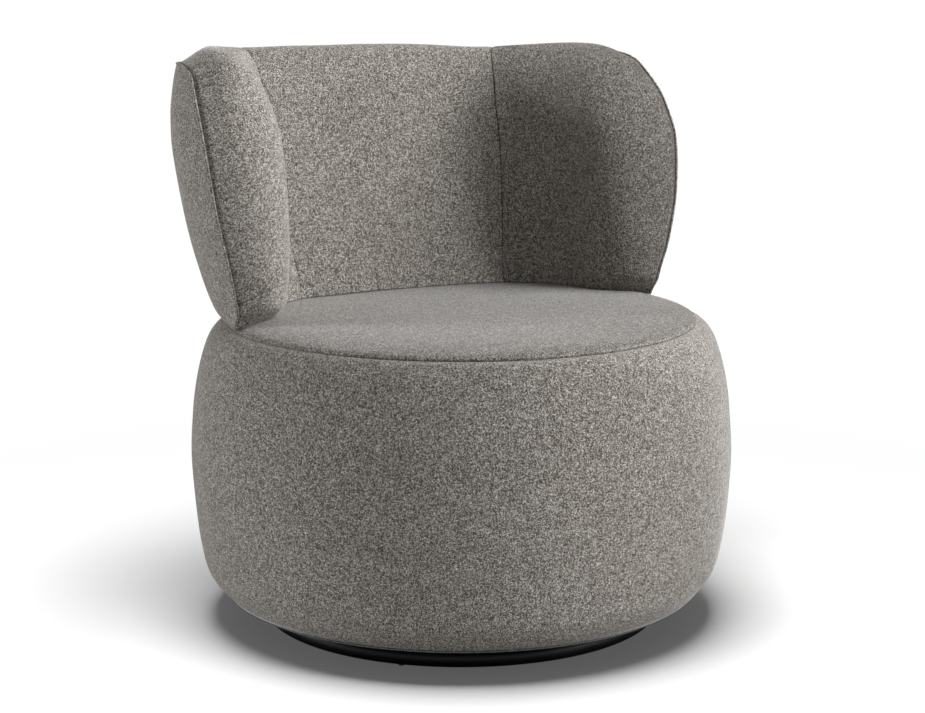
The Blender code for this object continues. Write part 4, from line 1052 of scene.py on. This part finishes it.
class CHAIR_OT_seat(bpy.types.Operator):
    """Make the crowned seat cover that meets the drum at the seat seam"""
    bl_idname = "chair.make_seat"
    bl_label = "Seat Cover"

    def execute(self, context):
        seams = context.scene.chair_seams
        cloth = bpy.data.materials["slub_wool_tweed"]
        top = []
        for step in range(SEAT_STEPS + 1):
            crowded = 1.0 - (1.0 - step / SEAT_STEPS) ** SEAT_CROWDING
            radius = (SEAM_RADIUS - JOIN_GAP) * crowded
            height = seat_height(radius)
            gap = math.hypot(radius - SEAM_RADIUS, height - SEAM_HEIGHT)
            sink = seam_sink(gap, seams) * SEAT_SINK_SHARE
            crease = seam_crease(gap) * SEAM_SLOPE
            top.append((radius - crease, height - sink - crease))
        under = []
        for share in SEAT_LINING_SHARES:
            radius = (SEAM_RADIUS - DRUM_COVER) * share
            under.append((radius, seat_height(radius, DRUM_COVER)))
        profile = top + list(reversed(under))

        def relief(radius, height, turn):
            under_side = height < seat_height(radius) - DRUM_COVER * UNDER_SIDE_SHARE
            return 0.0, 0.0 if under_side else seam_relief(radius, height, turn, seams)

        mesh = turned_mesh("seat_top_cover", profile, TURN_STEPS, relief, flat_weave=True)
        thing = new_piece("seat_top_cover", mesh, cloth, "chair", ["seat_cover"])
        return {"FINISHED"}


class CHAIR_OT_hem(bpy.types.Operator):
    """Make the folded hem under the drum with its row of stitches"""
    bl_idname = "chair.make_hem"
    bl_label = "Hem"

    def execute(self, context):
        settings = context.scene.chair_hem
        inner = SKIN_HIGH.x
        low = HEM_LOW.z
        high = HEM_HIGH.z
        top_radius = drum_radius(drum_share(high))
        low_radius = drum_radius(0.0) - HEM_CURL
        profile = [(inner, high), (top_radius - HEM_LAP, high)]
        for step in range(HEM_STEPS + 1):
            turn = math.pi * step / HEM_STEPS
            share = 0.5 - 0.5 * math.cos(turn)
            radius = top_radius + (low_radius - top_radius) * share + HEM_BULGE * math.sin(turn)
            if step in (1, 2):
                radius -= HEM_DENT
            profile.append((radius, high + (low - high) * share))
        profile.append((inner, low))
        mesh = turned_mesh("hem_fold", profile, TURN_STEPS)
        # The hem takes the darker copy of the cloth, painted shade for the shadow under the drum.
        cloth = bpy.data.materials["hem_tweed_painted_shade"]
        thing = new_piece("hem_fold", mesh, cloth, "chair", ["hem_band"])

        height = high - STITCH_DROP
        seat = drum_radius(drum_share(height)) + settings.thread * STITCH_LIFT
        count = int(math.tau * seat / settings.stitch)
        half = math.tau / count * STITCH_SHARE
        shape = bmesh.new()
        for index in range(count):
            middle = math.tau * index / count
            self.add_stitch(shape, middle, half, seat, height, settings.thread)
        new_piece("hem_stitches", mesh_of(shape, "hem_stitches"), bonded_thread(), "chair")
        return {"FINISHED"}

    def add_stitch(self, shape, middle, half, seat, height, thread):
        """Add one stitch, which rises out of the cloth, thins at both ends and dives back in."""
        rings = []
        for along in (-1.0, -0.5, 0.0, 0.5, 1.0):
            turn = middle + half * along
            out = seat + thread * (STITCH_CROWN - STITCH_DIVE * along * along)
            width = thread * (1.0 - STITCH_TAPER * along * along)
            ring = []
            for corner in range(STITCH_SIDES):
                lean = math.tau * corner / STITCH_SIDES
                reach = out + width * math.cos(lean)
                rise = height + width * math.sin(lean)
                ring.append(shape.verts.new((reach * math.sin(turn), reach * math.cos(turn), rise)))
            rings.append(ring)
        for first, second in zip(rings, rings[1:]):
            for corner in range(STITCH_SIDES):
                after = (corner + 1) % STITCH_SIDES
                shape.faces.new((first[corner], first[after], second[after], second[corner]))
        shape.faces.new(rings[0])
        shape.faces.new(rings[-1])


def steps_between(places, count):
    """Places with count even steps in every gap."""
    out = []
    for start, end in zip(places, places[1:]):
        for step in range(count):
            out.append(start + (end - start) * step / count)
    out.append(places[-1])
    return out


def crowd_to(start, end, count, near_start, near_end):
    """Places from start to end, closer together beside the ends that a seam runs along."""
    out = []
    for step in range(count + 1):
        share = step / count
        if near_start and near_end:
            share = 0.5 - 0.5 * math.cos(math.pi * share)
        elif near_end:
            share = math.sin(math.pi / 2 * share)
        elif near_start:
            share = 1.0 - math.cos(math.pi / 2 * share)
        out.append(start + (end - start) * share)
    return out


def shape_panel(grid, back, seam_columns, seams):
    """Sink a panel's edge into its seams, pucker it there, and let its padding wave softly."""
    last_row = len(grid) - 1
    last = len(grid[0]) - 1
    shaped = []
    for row, line in enumerate(grid):
        run = lengths_along(line)
        raised = lengths_along([grid[step][0] for step in range(row + 1)])[-1]
        beat = noise.noise(Vector((0.3, 0.0, raised / seams.pucker_pitch)))
        out = []
        for column, point in enumerate(line):
            inward = (back[row][column] - point).normalized()
            gap = min([abs(run[column] - run[seam]) for seam in seam_columns] or [1.0])
            near = 1.0 - ease(gap / (seams.groove_reach * PANEL_PUCKER_REACH))
            near *= min(gap / PUCKER_START, 1.0)
            steps_in = [row, last_row - row]
            if 0 not in seam_columns:
                steps_in.append(column)
            if last not in seam_columns:
                steps_in.append(last - column)
            fade = ease(min(gap / PANEL_WAVE_FADE, min(steps_in) / PANEL_EDGE_STEPS))
            wave = uneven(point, PANEL_WAVE_SIZE, seams.unevenness) * fade
            move = seam_sink(gap, seams) + (beat * seams.pucker_depth * near + wave)
            out.append(point + inward * move)
        shaped.append(out)
    return shaped


class CHAIR_OT_back_panels(bpy.types.Operator):
    """Make the three inner panels of the back, sunk into the seams between them"""
    bl_idname = "chair.make_back_panels"
    bl_label = "Inner Back Panels"

    def execute(self, context):
        seams = context.scene.chair_seams
        cloth = bpy.data.materials["slub_wool_tweed"]
        front = dict(inset=0.0, depth_out=WELT_CONTACT, depth_in=0.0,
                     seat_gap=BACK_SEAT_GAP, full=True)
        lining = dict(inset=BACK_COVER, depth_out=WELT_ROOM + BACK_COVER, depth_in=BACK_COVER,
                      seat_gap=BACK_SEAT_GAP, full=True)
        slip = JOIN_GAP / (BACK_HALF_WIDTH / COLUMNS)
        right = SEAM_COLUMN
        left = COLUMNS - SEAM_COLUMN
        right_roll = steps_between(range(ROLL_STEPS + 1), ROLL_COLUMN_STEPS)
        left_roll = steps_between(range(COLUMNS - ROLL_STEPS, COLUMNS + 1), ROLL_COLUMN_STEPS)
        right_face = crowd_to(ROLL_STEPS, right - slip, WING_FACE_STEPS, False, True)
        left_face = crowd_to(left + slip, COLUMNS - ROLL_STEPS, WING_FACE_STEPS, True, False)
        centre_face = crowd_to(right + slip, left - slip, CENTRE_FACE_STEPS, True, True)
        rows = steps_between(range(ROWS + 1), ROW_STEPS)
        panels = (
            ("back_right_wing_panel", right_roll[:-1] + right_face, [-1], "back_right_wing_cover"),
            ("back_centre_panel", centre_face, [0, -1], "back_centre_cover"),
            ("back_left_wing_panel", left_face[:-1] + left_roll, [0], "back_left_wing_cover"),
        )
        for name, columns, sunk, node in panels:
            face = pad_grid(columns, rows, **front)
            behind = pad_grid(columns, rows, **lining)
            seam_columns = [index % len(columns) for index in sunk]
            face = shape_panel(face, behind, seam_columns, seams)
            mesh = padded_mesh(name, face, behind, seam_columns[0])
            thing = new_piece(name, mesh, cloth, "chair", [node])
        return {"FINISHED"}


class CHAIR_OT_back_outside(bpy.types.Operator):
    """Make the smooth outer panel of the back"""
    bl_idname = "chair.make_back_outside"
    bl_label = "Outer Back Panel"

    def execute(self, context):
        seams = context.scene.chair_seams
        cloth = bpy.data.materials["slub_wool_tweed"]
        columns = steps_between(range(COLUMNS + 1), OUTSIDE_COLUMN_STEPS)
        rows = steps_between(range(ROWS + 1), ROW_STEPS)
        front = dict(inset=WELT_CONTACT, depth_out=0.0, depth_in=0.0,
                     seat_gap=BACK_UNDER_GAP, full=False)
        lining = dict(front, inset=WELT_ROOM + BACK_COVER, depth_out=BACK_COVER)
        face = pad_grid(columns, rows, **front)
        behind = pad_grid(columns, rows, **lining)
        face = shape_panel(face, behind, [], seams)
        mesh = padded_mesh("back_outside_panel", face, behind)
        thing = new_piece("back_outside_panel", mesh, cloth, "chair", ["back_outer_cover"])
        return {"FINISHED"}


class CHAIR_OT_welt(bpy.types.Operator):
    """Make the welt, a cord wrapped in the same cloth, round the outline of the back"""
    bl_idname = "chair.make_welt"
    bl_label = "Welt"

    def execute(self, context):
        cloth = bpy.data.materials["slub_wool_tweed"]
        rows = steps_between(range(ROWS + 1), WELT_ROW_STEPS)
        columns = steps_between(range(COLUMNS + 1), WELT_COLUMN_STEPS)
        places = [(0, row) for row in rows]
        places += [(column, ROWS) for column in columns[1:-1]]
        places += [(COLUMNS, row) for row in reversed(rows)]
        seat_gap = WELT_RADIUS + BACK_SEAT_GAP
        surface = dict(inset=0.0, depth_out=0.0, depth_in=0.0, seat_gap=seat_gap, full=False)
        path = [pad_grid([column], [row], **surface)[0][0] for column, row in places]
        for _ in range(WELT_ROUNDS):
            smooth = [path[0]]
            for before, point, after in zip(path, path[1:], path[2:]):
                smooth.append(point * 0.5 + (before + after) * 0.25)
            path = smooth + [path[-1]]
        shape = bmesh.new()
        weave = shape.loops.layers.uv.new("weave")
        run = lengths_along(path)
        grid = []
        spots = []
        for index, point in enumerate(path):
            ahead = (path[min(index + 1, len(path) - 1)] - path[max(index - 1, 0)]).normalized()
            across = ahead.cross(WELT_ASIDE).normalized()
            rise = ahead.cross(across)
            line = []
            for side in range(WELT_SIDES):
                turn = math.tau * side / WELT_SIDES
                line.append(point + (across * math.cos(turn) + rise * math.sin(turn)) * WELT_RADIUS)
            grid.append(line)
            spots.append([(run[index], WELT_RADIUS * math.tau * side / WELT_SIDES)
                          for side in range(WELT_SIDES + 1)])
        rings = add_grid(shape, weave, grid, spots, closed=True)
        for ring in (rings[0], rings[-1]):
            shape.faces.new(ring)
        mesh = mesh_of(shape, "back_piping")
        thing = new_piece("back_piping", mesh, cloth, "chair", ["back_welt"])
        return {"FINISHED"}


class CHAIR_OT_padding(bpy.types.Operator):
    """Make the foam, the felt and the lining that lie out of sight"""
    bl_idname = "chair.make_padding"
    bl_label = "Padding and Lining"

    def execute(self, context):
        foam = upholstery_foam()
        crown = [(0.0, seat_height(0.0, DRUM_COVER) - SOFT_GAP)]
        foam_low, foam_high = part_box("seat_foam")
        for step in range(1, FOAM_STEPS + 1):
            radius = (SEAM_RADIUS - DRUM_COVER) * FOAM_CROWN_SHARE * step / FOAM_STEPS
            crown.append((radius, seat_height(radius, DRUM_COVER) - SOFT_GAP))
        edge = foam_high.x
        crown.append((edge, SEAM_HEIGHT - DRUM_COVER - SOFT_GAP - FOAM_EDGE_DROP))
        crown.append((edge, foam_low.z + FOAM_CORNER))
        crown.append((edge - FOAM_CORNER, foam_low.z))
        crown.append((0.0, foam_low.z))
        mesh = turned_mesh("seat_padding", crown, PADDING_STEPS, flat_weave=True)
        seat = new_piece("seat_padding", mesh, foam, "chair", ["seat_foam"])

        side_low, side_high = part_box("side_foam")
        back = SKIN_HIGH.x + JOIN_GAP
        profile = [(back, side_low.z)]
        for step in range(FOAM_STEPS + 1):
            share = drum_share(side_low.z)
            share += (FOAM_SIDE_SHARE - share) * step / FOAM_STEPS
            profile.append((drum_radius(share) - DRUM_COVER - SOFT_GAP * 2, drum_height(share)))
        profile.append((back + SOFT_GAP, side_high.z))
        profile.append((back, side_high.z))
        mesh = turned_mesh("side_padding", profile, PADDING_STEPS)
        side = new_piece("side_padding", mesh, foam, "chair", ["side_foam"])

        rows = steps_between(range(ROWS + 1), PADDING_ROW_STEPS)
        columns = steps_between(range(COLUMNS + 1), PADDING_ROW_STEPS)
        under_cover = BACK_COVER + SOFT_GAP * 2
        front = dict(inset=BACK_COVER + FOAM_EDGE_ROOM, depth_out=WELT_ROOM + under_cover,
                     depth_in=under_cover, seat_gap=BACK_UNDER_GAP, full=True)
        rear = dict(front, inset=SHELL_EDGE_ROOM - FOAM_LIP, depth_out=FOAM_DEPTH, full=False)
        face = pad_grid(columns, rows, **front)
        behind = pad_grid(columns, rows, **rear)
        mesh = padded_mesh("back_padding", face, behind)
        new_piece("back_padding", mesh, foam, "chair", ["back_foam"])

        felt_low, felt_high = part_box("spring_felt")
        reach = felt_high.x
        bow = FELT_ROUNDING
        sheet = [(0.0, felt_high.z), (reach - bow, felt_high.z), (reach, felt_high.z - bow),
                 (reach, felt_low.z + bow), (reach - bow, felt_low.z), (0.0, felt_low.z)]
        mesh = turned_mesh("spring_felt_pad", sheet, PADDING_STEPS, flat_weave=True)
        felt = new_piece("spring_felt_pad", mesh, needled_felt(), "chair", ["spring_felt"])

        cover_low, cover_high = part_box("dust_cover")
        points = frame["nodes"]["dust_cover"].data.vertices
        hole = min(math.hypot(point.co.x, point.co.y) for point in points)
        sheet = [(hole, cover_high.z), (cover_high.x, cover_high.z), (cover_high.x, cover_low.z)]
        for step in range(LINING_RIPPLES - 1, 0, -1):
            radius = hole + (cover_high.x - hole) * step / LINING_RIPPLES
            sheet.append((radius, cover_low.z + LINING_RIPPLE * (step % 2)))
        sheet.append((hole, cover_low.z))
        mesh = turned_mesh("under_lining", sheet, PADDING_STEPS, flat_weave=True)
        cloth = nonwoven_lining()
        lining = new_piece("under_lining", mesh, cloth, "chair", ["dust_cover"])
        return {"FINISHED"}


class CHAIR_OT_ring(bpy.types.Operator):
    """Model the round steel tube on the floor, with the bead of its one butt weld"""
    bl_idname = "chair.make_ring"
    bl_label = "Floor Ring"

    def execute(self, context):
        tube = (RING_HIGH.z - RING_LOW.z) / 2
        middle = (RING_HIGH.z + RING_LOW.z) / 2
        radius = RING_HIGH.x - tube
        select_only()
        bpy.ops.mesh.primitive_torus_add(major_segments=160, minor_segments=28, major_radius=radius,
                                         minor_radius=tube, location=(0.0, 0.0, middle))
        thing = bpy.context.object
        thing.name = "floor_ring_tube"
        bpy.ops.object.transform_apply(location=True, rotation=True, scale=True)
        bead = math.radians(WELD_HALF_ANGLE)
        bpy.ops.object.mode_set(mode="EDIT")
        bpy.ops.mesh.select_all(action="DESELECT")
        shape = bmesh.from_edit_mesh(thing.data)
        for face in shape.faces:
            centre = face.calc_center_median()
            if centre.y > 0.0 and abs(math.atan2(centre.x, centre.y)) < bead:
                face.select = True
        bmesh.update_edit_mesh(thing.data)
        bpy.ops.mesh.inset(thickness=WELD_INSET)
        bpy.ops.transform.shrink_fatten(value=-WELD_HEIGHT)
        bpy.ops.mesh.select_all(action="SELECT")
        bpy.ops.mesh.normals_make_consistent(inside=False)
        bpy.ops.object.mode_set(mode="OBJECT")
        coat = bpy.data.materials["black_powder_coated_steel"]
        finish_piece(thing, coat, "base", ["floor_ring"])
        return {"FINISHED"}


class CHAIR_OT_frame(bpy.types.Operator):
    """Give the frame, turntable and fasteners their own finishes"""
    bl_idname = "chair.finish_frame"
    bl_label = "Frame Finishes"

    def execute(self, context):
        made = {slot: build() for slot, build in CAD_FINISHES.items()}
        for thing in frame["nodes"].values():
            for spot in thing.material_slots:
                slot = spot.material.name.split(".")[0] if spot.material else ""
                if slot in made:
                    spot.material = made[slot]
        return {"FINISHED"}


class CHAIR_OT_cloth(bpy.types.Operator):
    """Weave the upholstery cloth, and a copy of it for the hem that is darker by painted shade"""
    bl_idname = "chair.make_cloth"
    bl_label = "Upholstery Cloth"

    def execute(self, context):
        settings = context.scene.chair_upholstery
        wool_tweed("slub_wool_tweed", settings)
        # The hem's copy is the same cloth at 0.8 of its tone: painted shade for the shadow under
        # the drum's overhang.
        wool_tweed("hem_tweed_painted_shade", settings, painted_shade_scale=0.8)
        return {"FINISHED"}


# Stage

# The camera as solved from the photo: focal length and width in pixels, the share of the frame
# that it is shifted, and its place in metres, drop in radians and bearing in degrees
CAMERA_FOCUS = 2255.57
PHOTO_WIDTH = 925
SENSOR_WIDTH = 36.0
CAMERA_SHIFT = 0.0013
CAMERA_PLACE = (-1.4658, -2.7567, 0.9625)
CAMERA_DROP = 0.1885
CAMERA_BEARING = -28.0

# The floor's tone in bounced light and to the camera, and the glow that only the camera sees,
# which keeps the shadow under the chair from going darker than this
FLOOR_BOUNCE = 0.14
FLOOR_TONE = 0.25
SHADOW_TONE = 0.086
# Distances in metres from the middle between which the floor fades to plain white
FLOOR_FADE = (0.75, 1.5)
# Just over 1, so that the far floor and the background come out as plain white
WHITE = 1.02
WORLD_LIGHT = 0.21

LAMP_AIM = Vector((0.0, 0.0, 0.45))
LAMP_DISTANCE = 3.0
RIGHT_WING = "back_right_wing_panel"
LEFT_WING = "back_left_wing_panel"
CENTRE = "back_centre_panel"
OUTSIDE = ("back_outside_panel", "back_piping")
DRUM_PIECES = ("drum_side_cover", "hem_fold", "hem_stitches", "floor_ring_tube")
# Name, bearing from the front and rise in degrees, size in metres, watts, and the pieces that it
# alone lights (INCLUDE) or is kept off (EXCLUDE), as flags do in a studio
LAMPS = (
    ("front_softbox", 40.0, 12.0, 0.7, 36.0, "EXCLUDE", ("studio_floor", RIGHT_WING)),
    ("rim_softbox", -110.0, 12.0, 0.7, 35.0, "EXCLUDE", ("studio_floor",)),
    ("inner_softbox", -110.0, 12.0, 0.7, 28.0, "INCLUDE", (RIGHT_WING, CENTRE)),
    ("key_softbox", 70.0, 35.0, 0.7, 42.0, "EXCLUDE", ("studio_floor", RIGHT_WING, *DRUM_PIECES)),
    ("wing_softbox", 88.0, 35.0, 0.7, 52.0, "INCLUDE", (LEFT_WING, *OUTSIDE)),
    ("fill_softbox", 10.0, 55.0, 0.7, 9.0, "INCLUDE", (LEFT_WING, CENTRE)),
    ("high_softbox", 85.0, 55.0, 0.7, 35.0, "INCLUDE", (LEFT_WING, *OUTSIDE, CENTRE)),
    ("right_softbox", 52.0, 47.0, 0.7, 50.0, "INCLUDE", (RIGHT_WING,)),
    ("seat_softbox", 55.0, 12.0, 0.7, 27.0, "INCLUDE", ("seat_top_cover",)),
    ("side_softbox", 110.0, 35.0, 0.7, 77.0, "INCLUDE", DRUM_PIECES),
    ("drum_softbox", 40.0, 35.0, 0.7, 42.0, "INCLUDE", DRUM_PIECES),
    ("floor_softbox", -34.0, 83.3, 1.8, 540.0, "INCLUDE", ("studio_floor",)),
)


def add_lamp(name, bearing, rise, size, power, state, pieces):
    """A square soft lamp on a sphere round the chair that lights, or is kept off, some pieces."""
    data = bpy.data.lights.new(name, "AREA")
    data.size = size
    data.energy = power
    lamp = bpy.data.objects.new(name, data)
    turn, lift = math.radians(bearing), math.radians(rise)
    reach = math.cos(lift)
    away = Vector((math.sin(turn) * reach, -math.cos(turn) * reach, math.sin(lift)))
    lamp.location = LAMP_AIM + away * LAMP_DISTANCE
    lamp.rotation_euler = away.to_track_quat("Z", "Y").to_euler()
    lamp.visible_camera = False
    bpy.context.scene.collection.objects.link(lamp)
    group = bpy.data.collections.new(name + "_receivers")
    for piece in pieces:
        group.objects.link(bpy.data.objects[piece])
    for item in group.collection_objects:
        item.light_linking.link_state = state
    lamp.light_linking.receiver_collection = group


class CHAIR_OT_stage(bpy.types.Operator):
    """Set the camera, the soft studio lamps and the white floor"""
    bl_idname = "chair.make_stage"
    bl_label = "Stage"

    def execute(self, context):
        settings = context.scene.chair_stage
        scene = context.scene
        data = bpy.data.cameras.new("photo_camera")
        data.sensor_width = SENSOR_WIDTH
        data.lens = CAMERA_FOCUS / PHOTO_WIDTH * SENSOR_WIDTH
        data.shift_x = CAMERA_SHIFT
        camera = bpy.data.objects.new("photo_camera", data)
        camera.location = CAMERA_PLACE
        camera.rotation_euler = (math.pi / 2 - CAMERA_DROP, 0.0, math.radians(CAMERA_BEARING))
        scene.collection.objects.link(camera)
        scene.camera = camera

        bpy.ops.mesh.primitive_circle_add(vertices=96, radius=settings.floor_radius,
                                          fill_type="NGON")
        floor = bpy.context.object
        floor.name = "studio_floor"
        floor.data.materials.append(self.floor_material())
        for name, bearing, rise, size, power, state, pieces in LAMPS:
            add_lamp(name, bearing, rise, size, power * settings.power, state, pieces)

        world = bpy.data.worlds.new("white_studio")
        scene.world = world
        world.use_nodes = True
        tree = world.node_tree
        tree.nodes.clear()
        path = add_node(tree, "ShaderNodeLightPath")
        seen = path.outputs["Is Camera Ray"]
        for ray in ("Is Transmission Ray", "Is Glossy Ray"):
            seen = combine(tree, "MAXIMUM", seen, path.outputs[ray])
        light = add_node(tree, "ShaderNodeBackground", {
            "Color": linear("#ffffff"), "Strength": WORLD_LIGHT})
        white = add_node(tree, "ShaderNodeBackground", {
            "Color": linear("#ffffff"), "Strength": WHITE})
        mixed = add_node(tree, "ShaderNodeMixShader", {
            0: seen, 1: light.outputs[0], 2: white.outputs[0]})
        add_node(tree, "ShaderNodeOutputWorld", {"Surface": mixed.outputs[0]})

        scene.view_settings.view_transform = "Standard"
        return {"FINISHED"}

    def floor_material(self):
        """Matt paper floor that keeps the chair's shadow even and fades to plain white far off."""
        material = bpy.data.materials.new("white_paper_floor")
        material.use_nodes = True
        tree = material.node_tree
        tree.nodes.clear()
        path = add_node(tree, "ShaderNodeLightPath").outputs["Is Camera Ray"]
        tone = add_node(tree, "ShaderNodeMix", {"Factor": path}, data_type="RGBA")
        tone.inputs["A"].default_value = (FLOOR_BOUNCE, FLOOR_BOUNCE, FLOOR_BOUNCE, 1.0)
        tone.inputs["B"].default_value = (FLOOR_TONE, FLOOR_TONE, FLOOR_TONE, 1.0)
        lit = add_node(tree, "ShaderNodeBsdfDiffuse", {"Color": tone.outputs["Result"]})
        glow = add_node(tree, "ShaderNodeEmission", {
            "Color": linear("#ffffff"), "Strength": combine(tree, "MULTIPLY", path, SHADOW_TONE)})
        paper = add_node(tree, "ShaderNodeAddShader", {0: lit.outputs[0], 1: glow.outputs[0]})
        white = add_node(tree, "ShaderNodeEmission", {
            "Color": linear("#ffffff"), "Strength": WHITE})
        place = add_node(tree, "ShaderNodeTexCoord").outputs["Object"]
        reach = add_node(tree, "ShaderNodeVectorMath", {0: place}, operation="LENGTH")
        far = add_node(tree, "ShaderNodeMapRange", {
            "Value": reach.outputs["Value"], "From Min": FLOOR_FADE[0], "From Max": FLOOR_FADE[1]})
        fade = combine(tree, "MULTIPLY", far.outputs["Result"], path)
        mixed = add_node(tree, "ShaderNodeMixShader", {
            0: fade, 1: paper.outputs[0], 2: white.outputs[0]})
        add_node(tree, "ShaderNodeOutputMaterial", {"Surface": mixed.outputs[0]})
        return material


class CHAIR_PT_panel(bpy.types.Panel):
    """Lists the chair's pieces"""
    bl_idname = "CHAIR_PT_panel"
    bl_label = "Lounge Chair"
    bl_space_type = "VIEW_3D"
    bl_region_type = "UI"
    bl_category = "Lounge Chair"

    def draw(self, context):
        layout = self.layout
        for settings in GROUPS:
            group = getattr(context.scene, settings)
            box = layout.box()
            for name in group.__annotations__:
                box.prop(group, name)
        for operator in PIECES:
            layout.operator(operator.bl_idname)


PIECES = (
    CHAIR_OT_cloth, CHAIR_OT_frame, CHAIR_OT_ring, CHAIR_OT_padding, CHAIR_OT_drum, CHAIR_OT_seat,
    CHAIR_OT_hem, CHAIR_OT_back_panels, CHAIR_OT_back_outside, CHAIR_OT_welt, CHAIR_OT_stage,
)
GROUPS = {
    "chair_upholstery": UpholsterySettings,
    "chair_seams": SeamSettings,
    "chair_hem": HemSettings,
    "chair_stage": StageSettings,
}


def register():
    """Register the settings, the operators and the panel."""
    for name, group in GROUPS.items():
        bpy.utils.register_class(group)
        setattr(bpy.types.Scene, name, bpy.props.PointerProperty(type=group))
    for operator in PIECES:
        bpy.utils.register_class(operator)
    bpy.utils.register_class(CHAIR_PT_panel)


def unregister():
    """Take the panel, the operators and the settings away again."""
    bpy.utils.unregister_class(CHAIR_PT_panel)
    for operator in reversed(PIECES):
        bpy.utils.unregister_class(operator)
    for name, group in GROUPS.items():
        delattr(bpy.types.Scene, name)
        bpy.utils.unregister_class(group)


def main():
    """Make every piece in order."""
    register()
    bpy.ops.chair.make_cloth()
    bpy.ops.chair.finish_frame()
    bpy.ops.chair.make_ring()
    bpy.ops.chair.make_padding()
    bpy.ops.chair.make_drum()
    bpy.ops.chair.make_seat()
    bpy.ops.chair.make_hem()
    bpy.ops.chair.make_back_panels()
    bpy.ops.chair.make_back_outside()
    bpy.ops.chair.make_welt()
    bpy.ops.chair.make_stage()


if __name__ == "__main__":
    main()
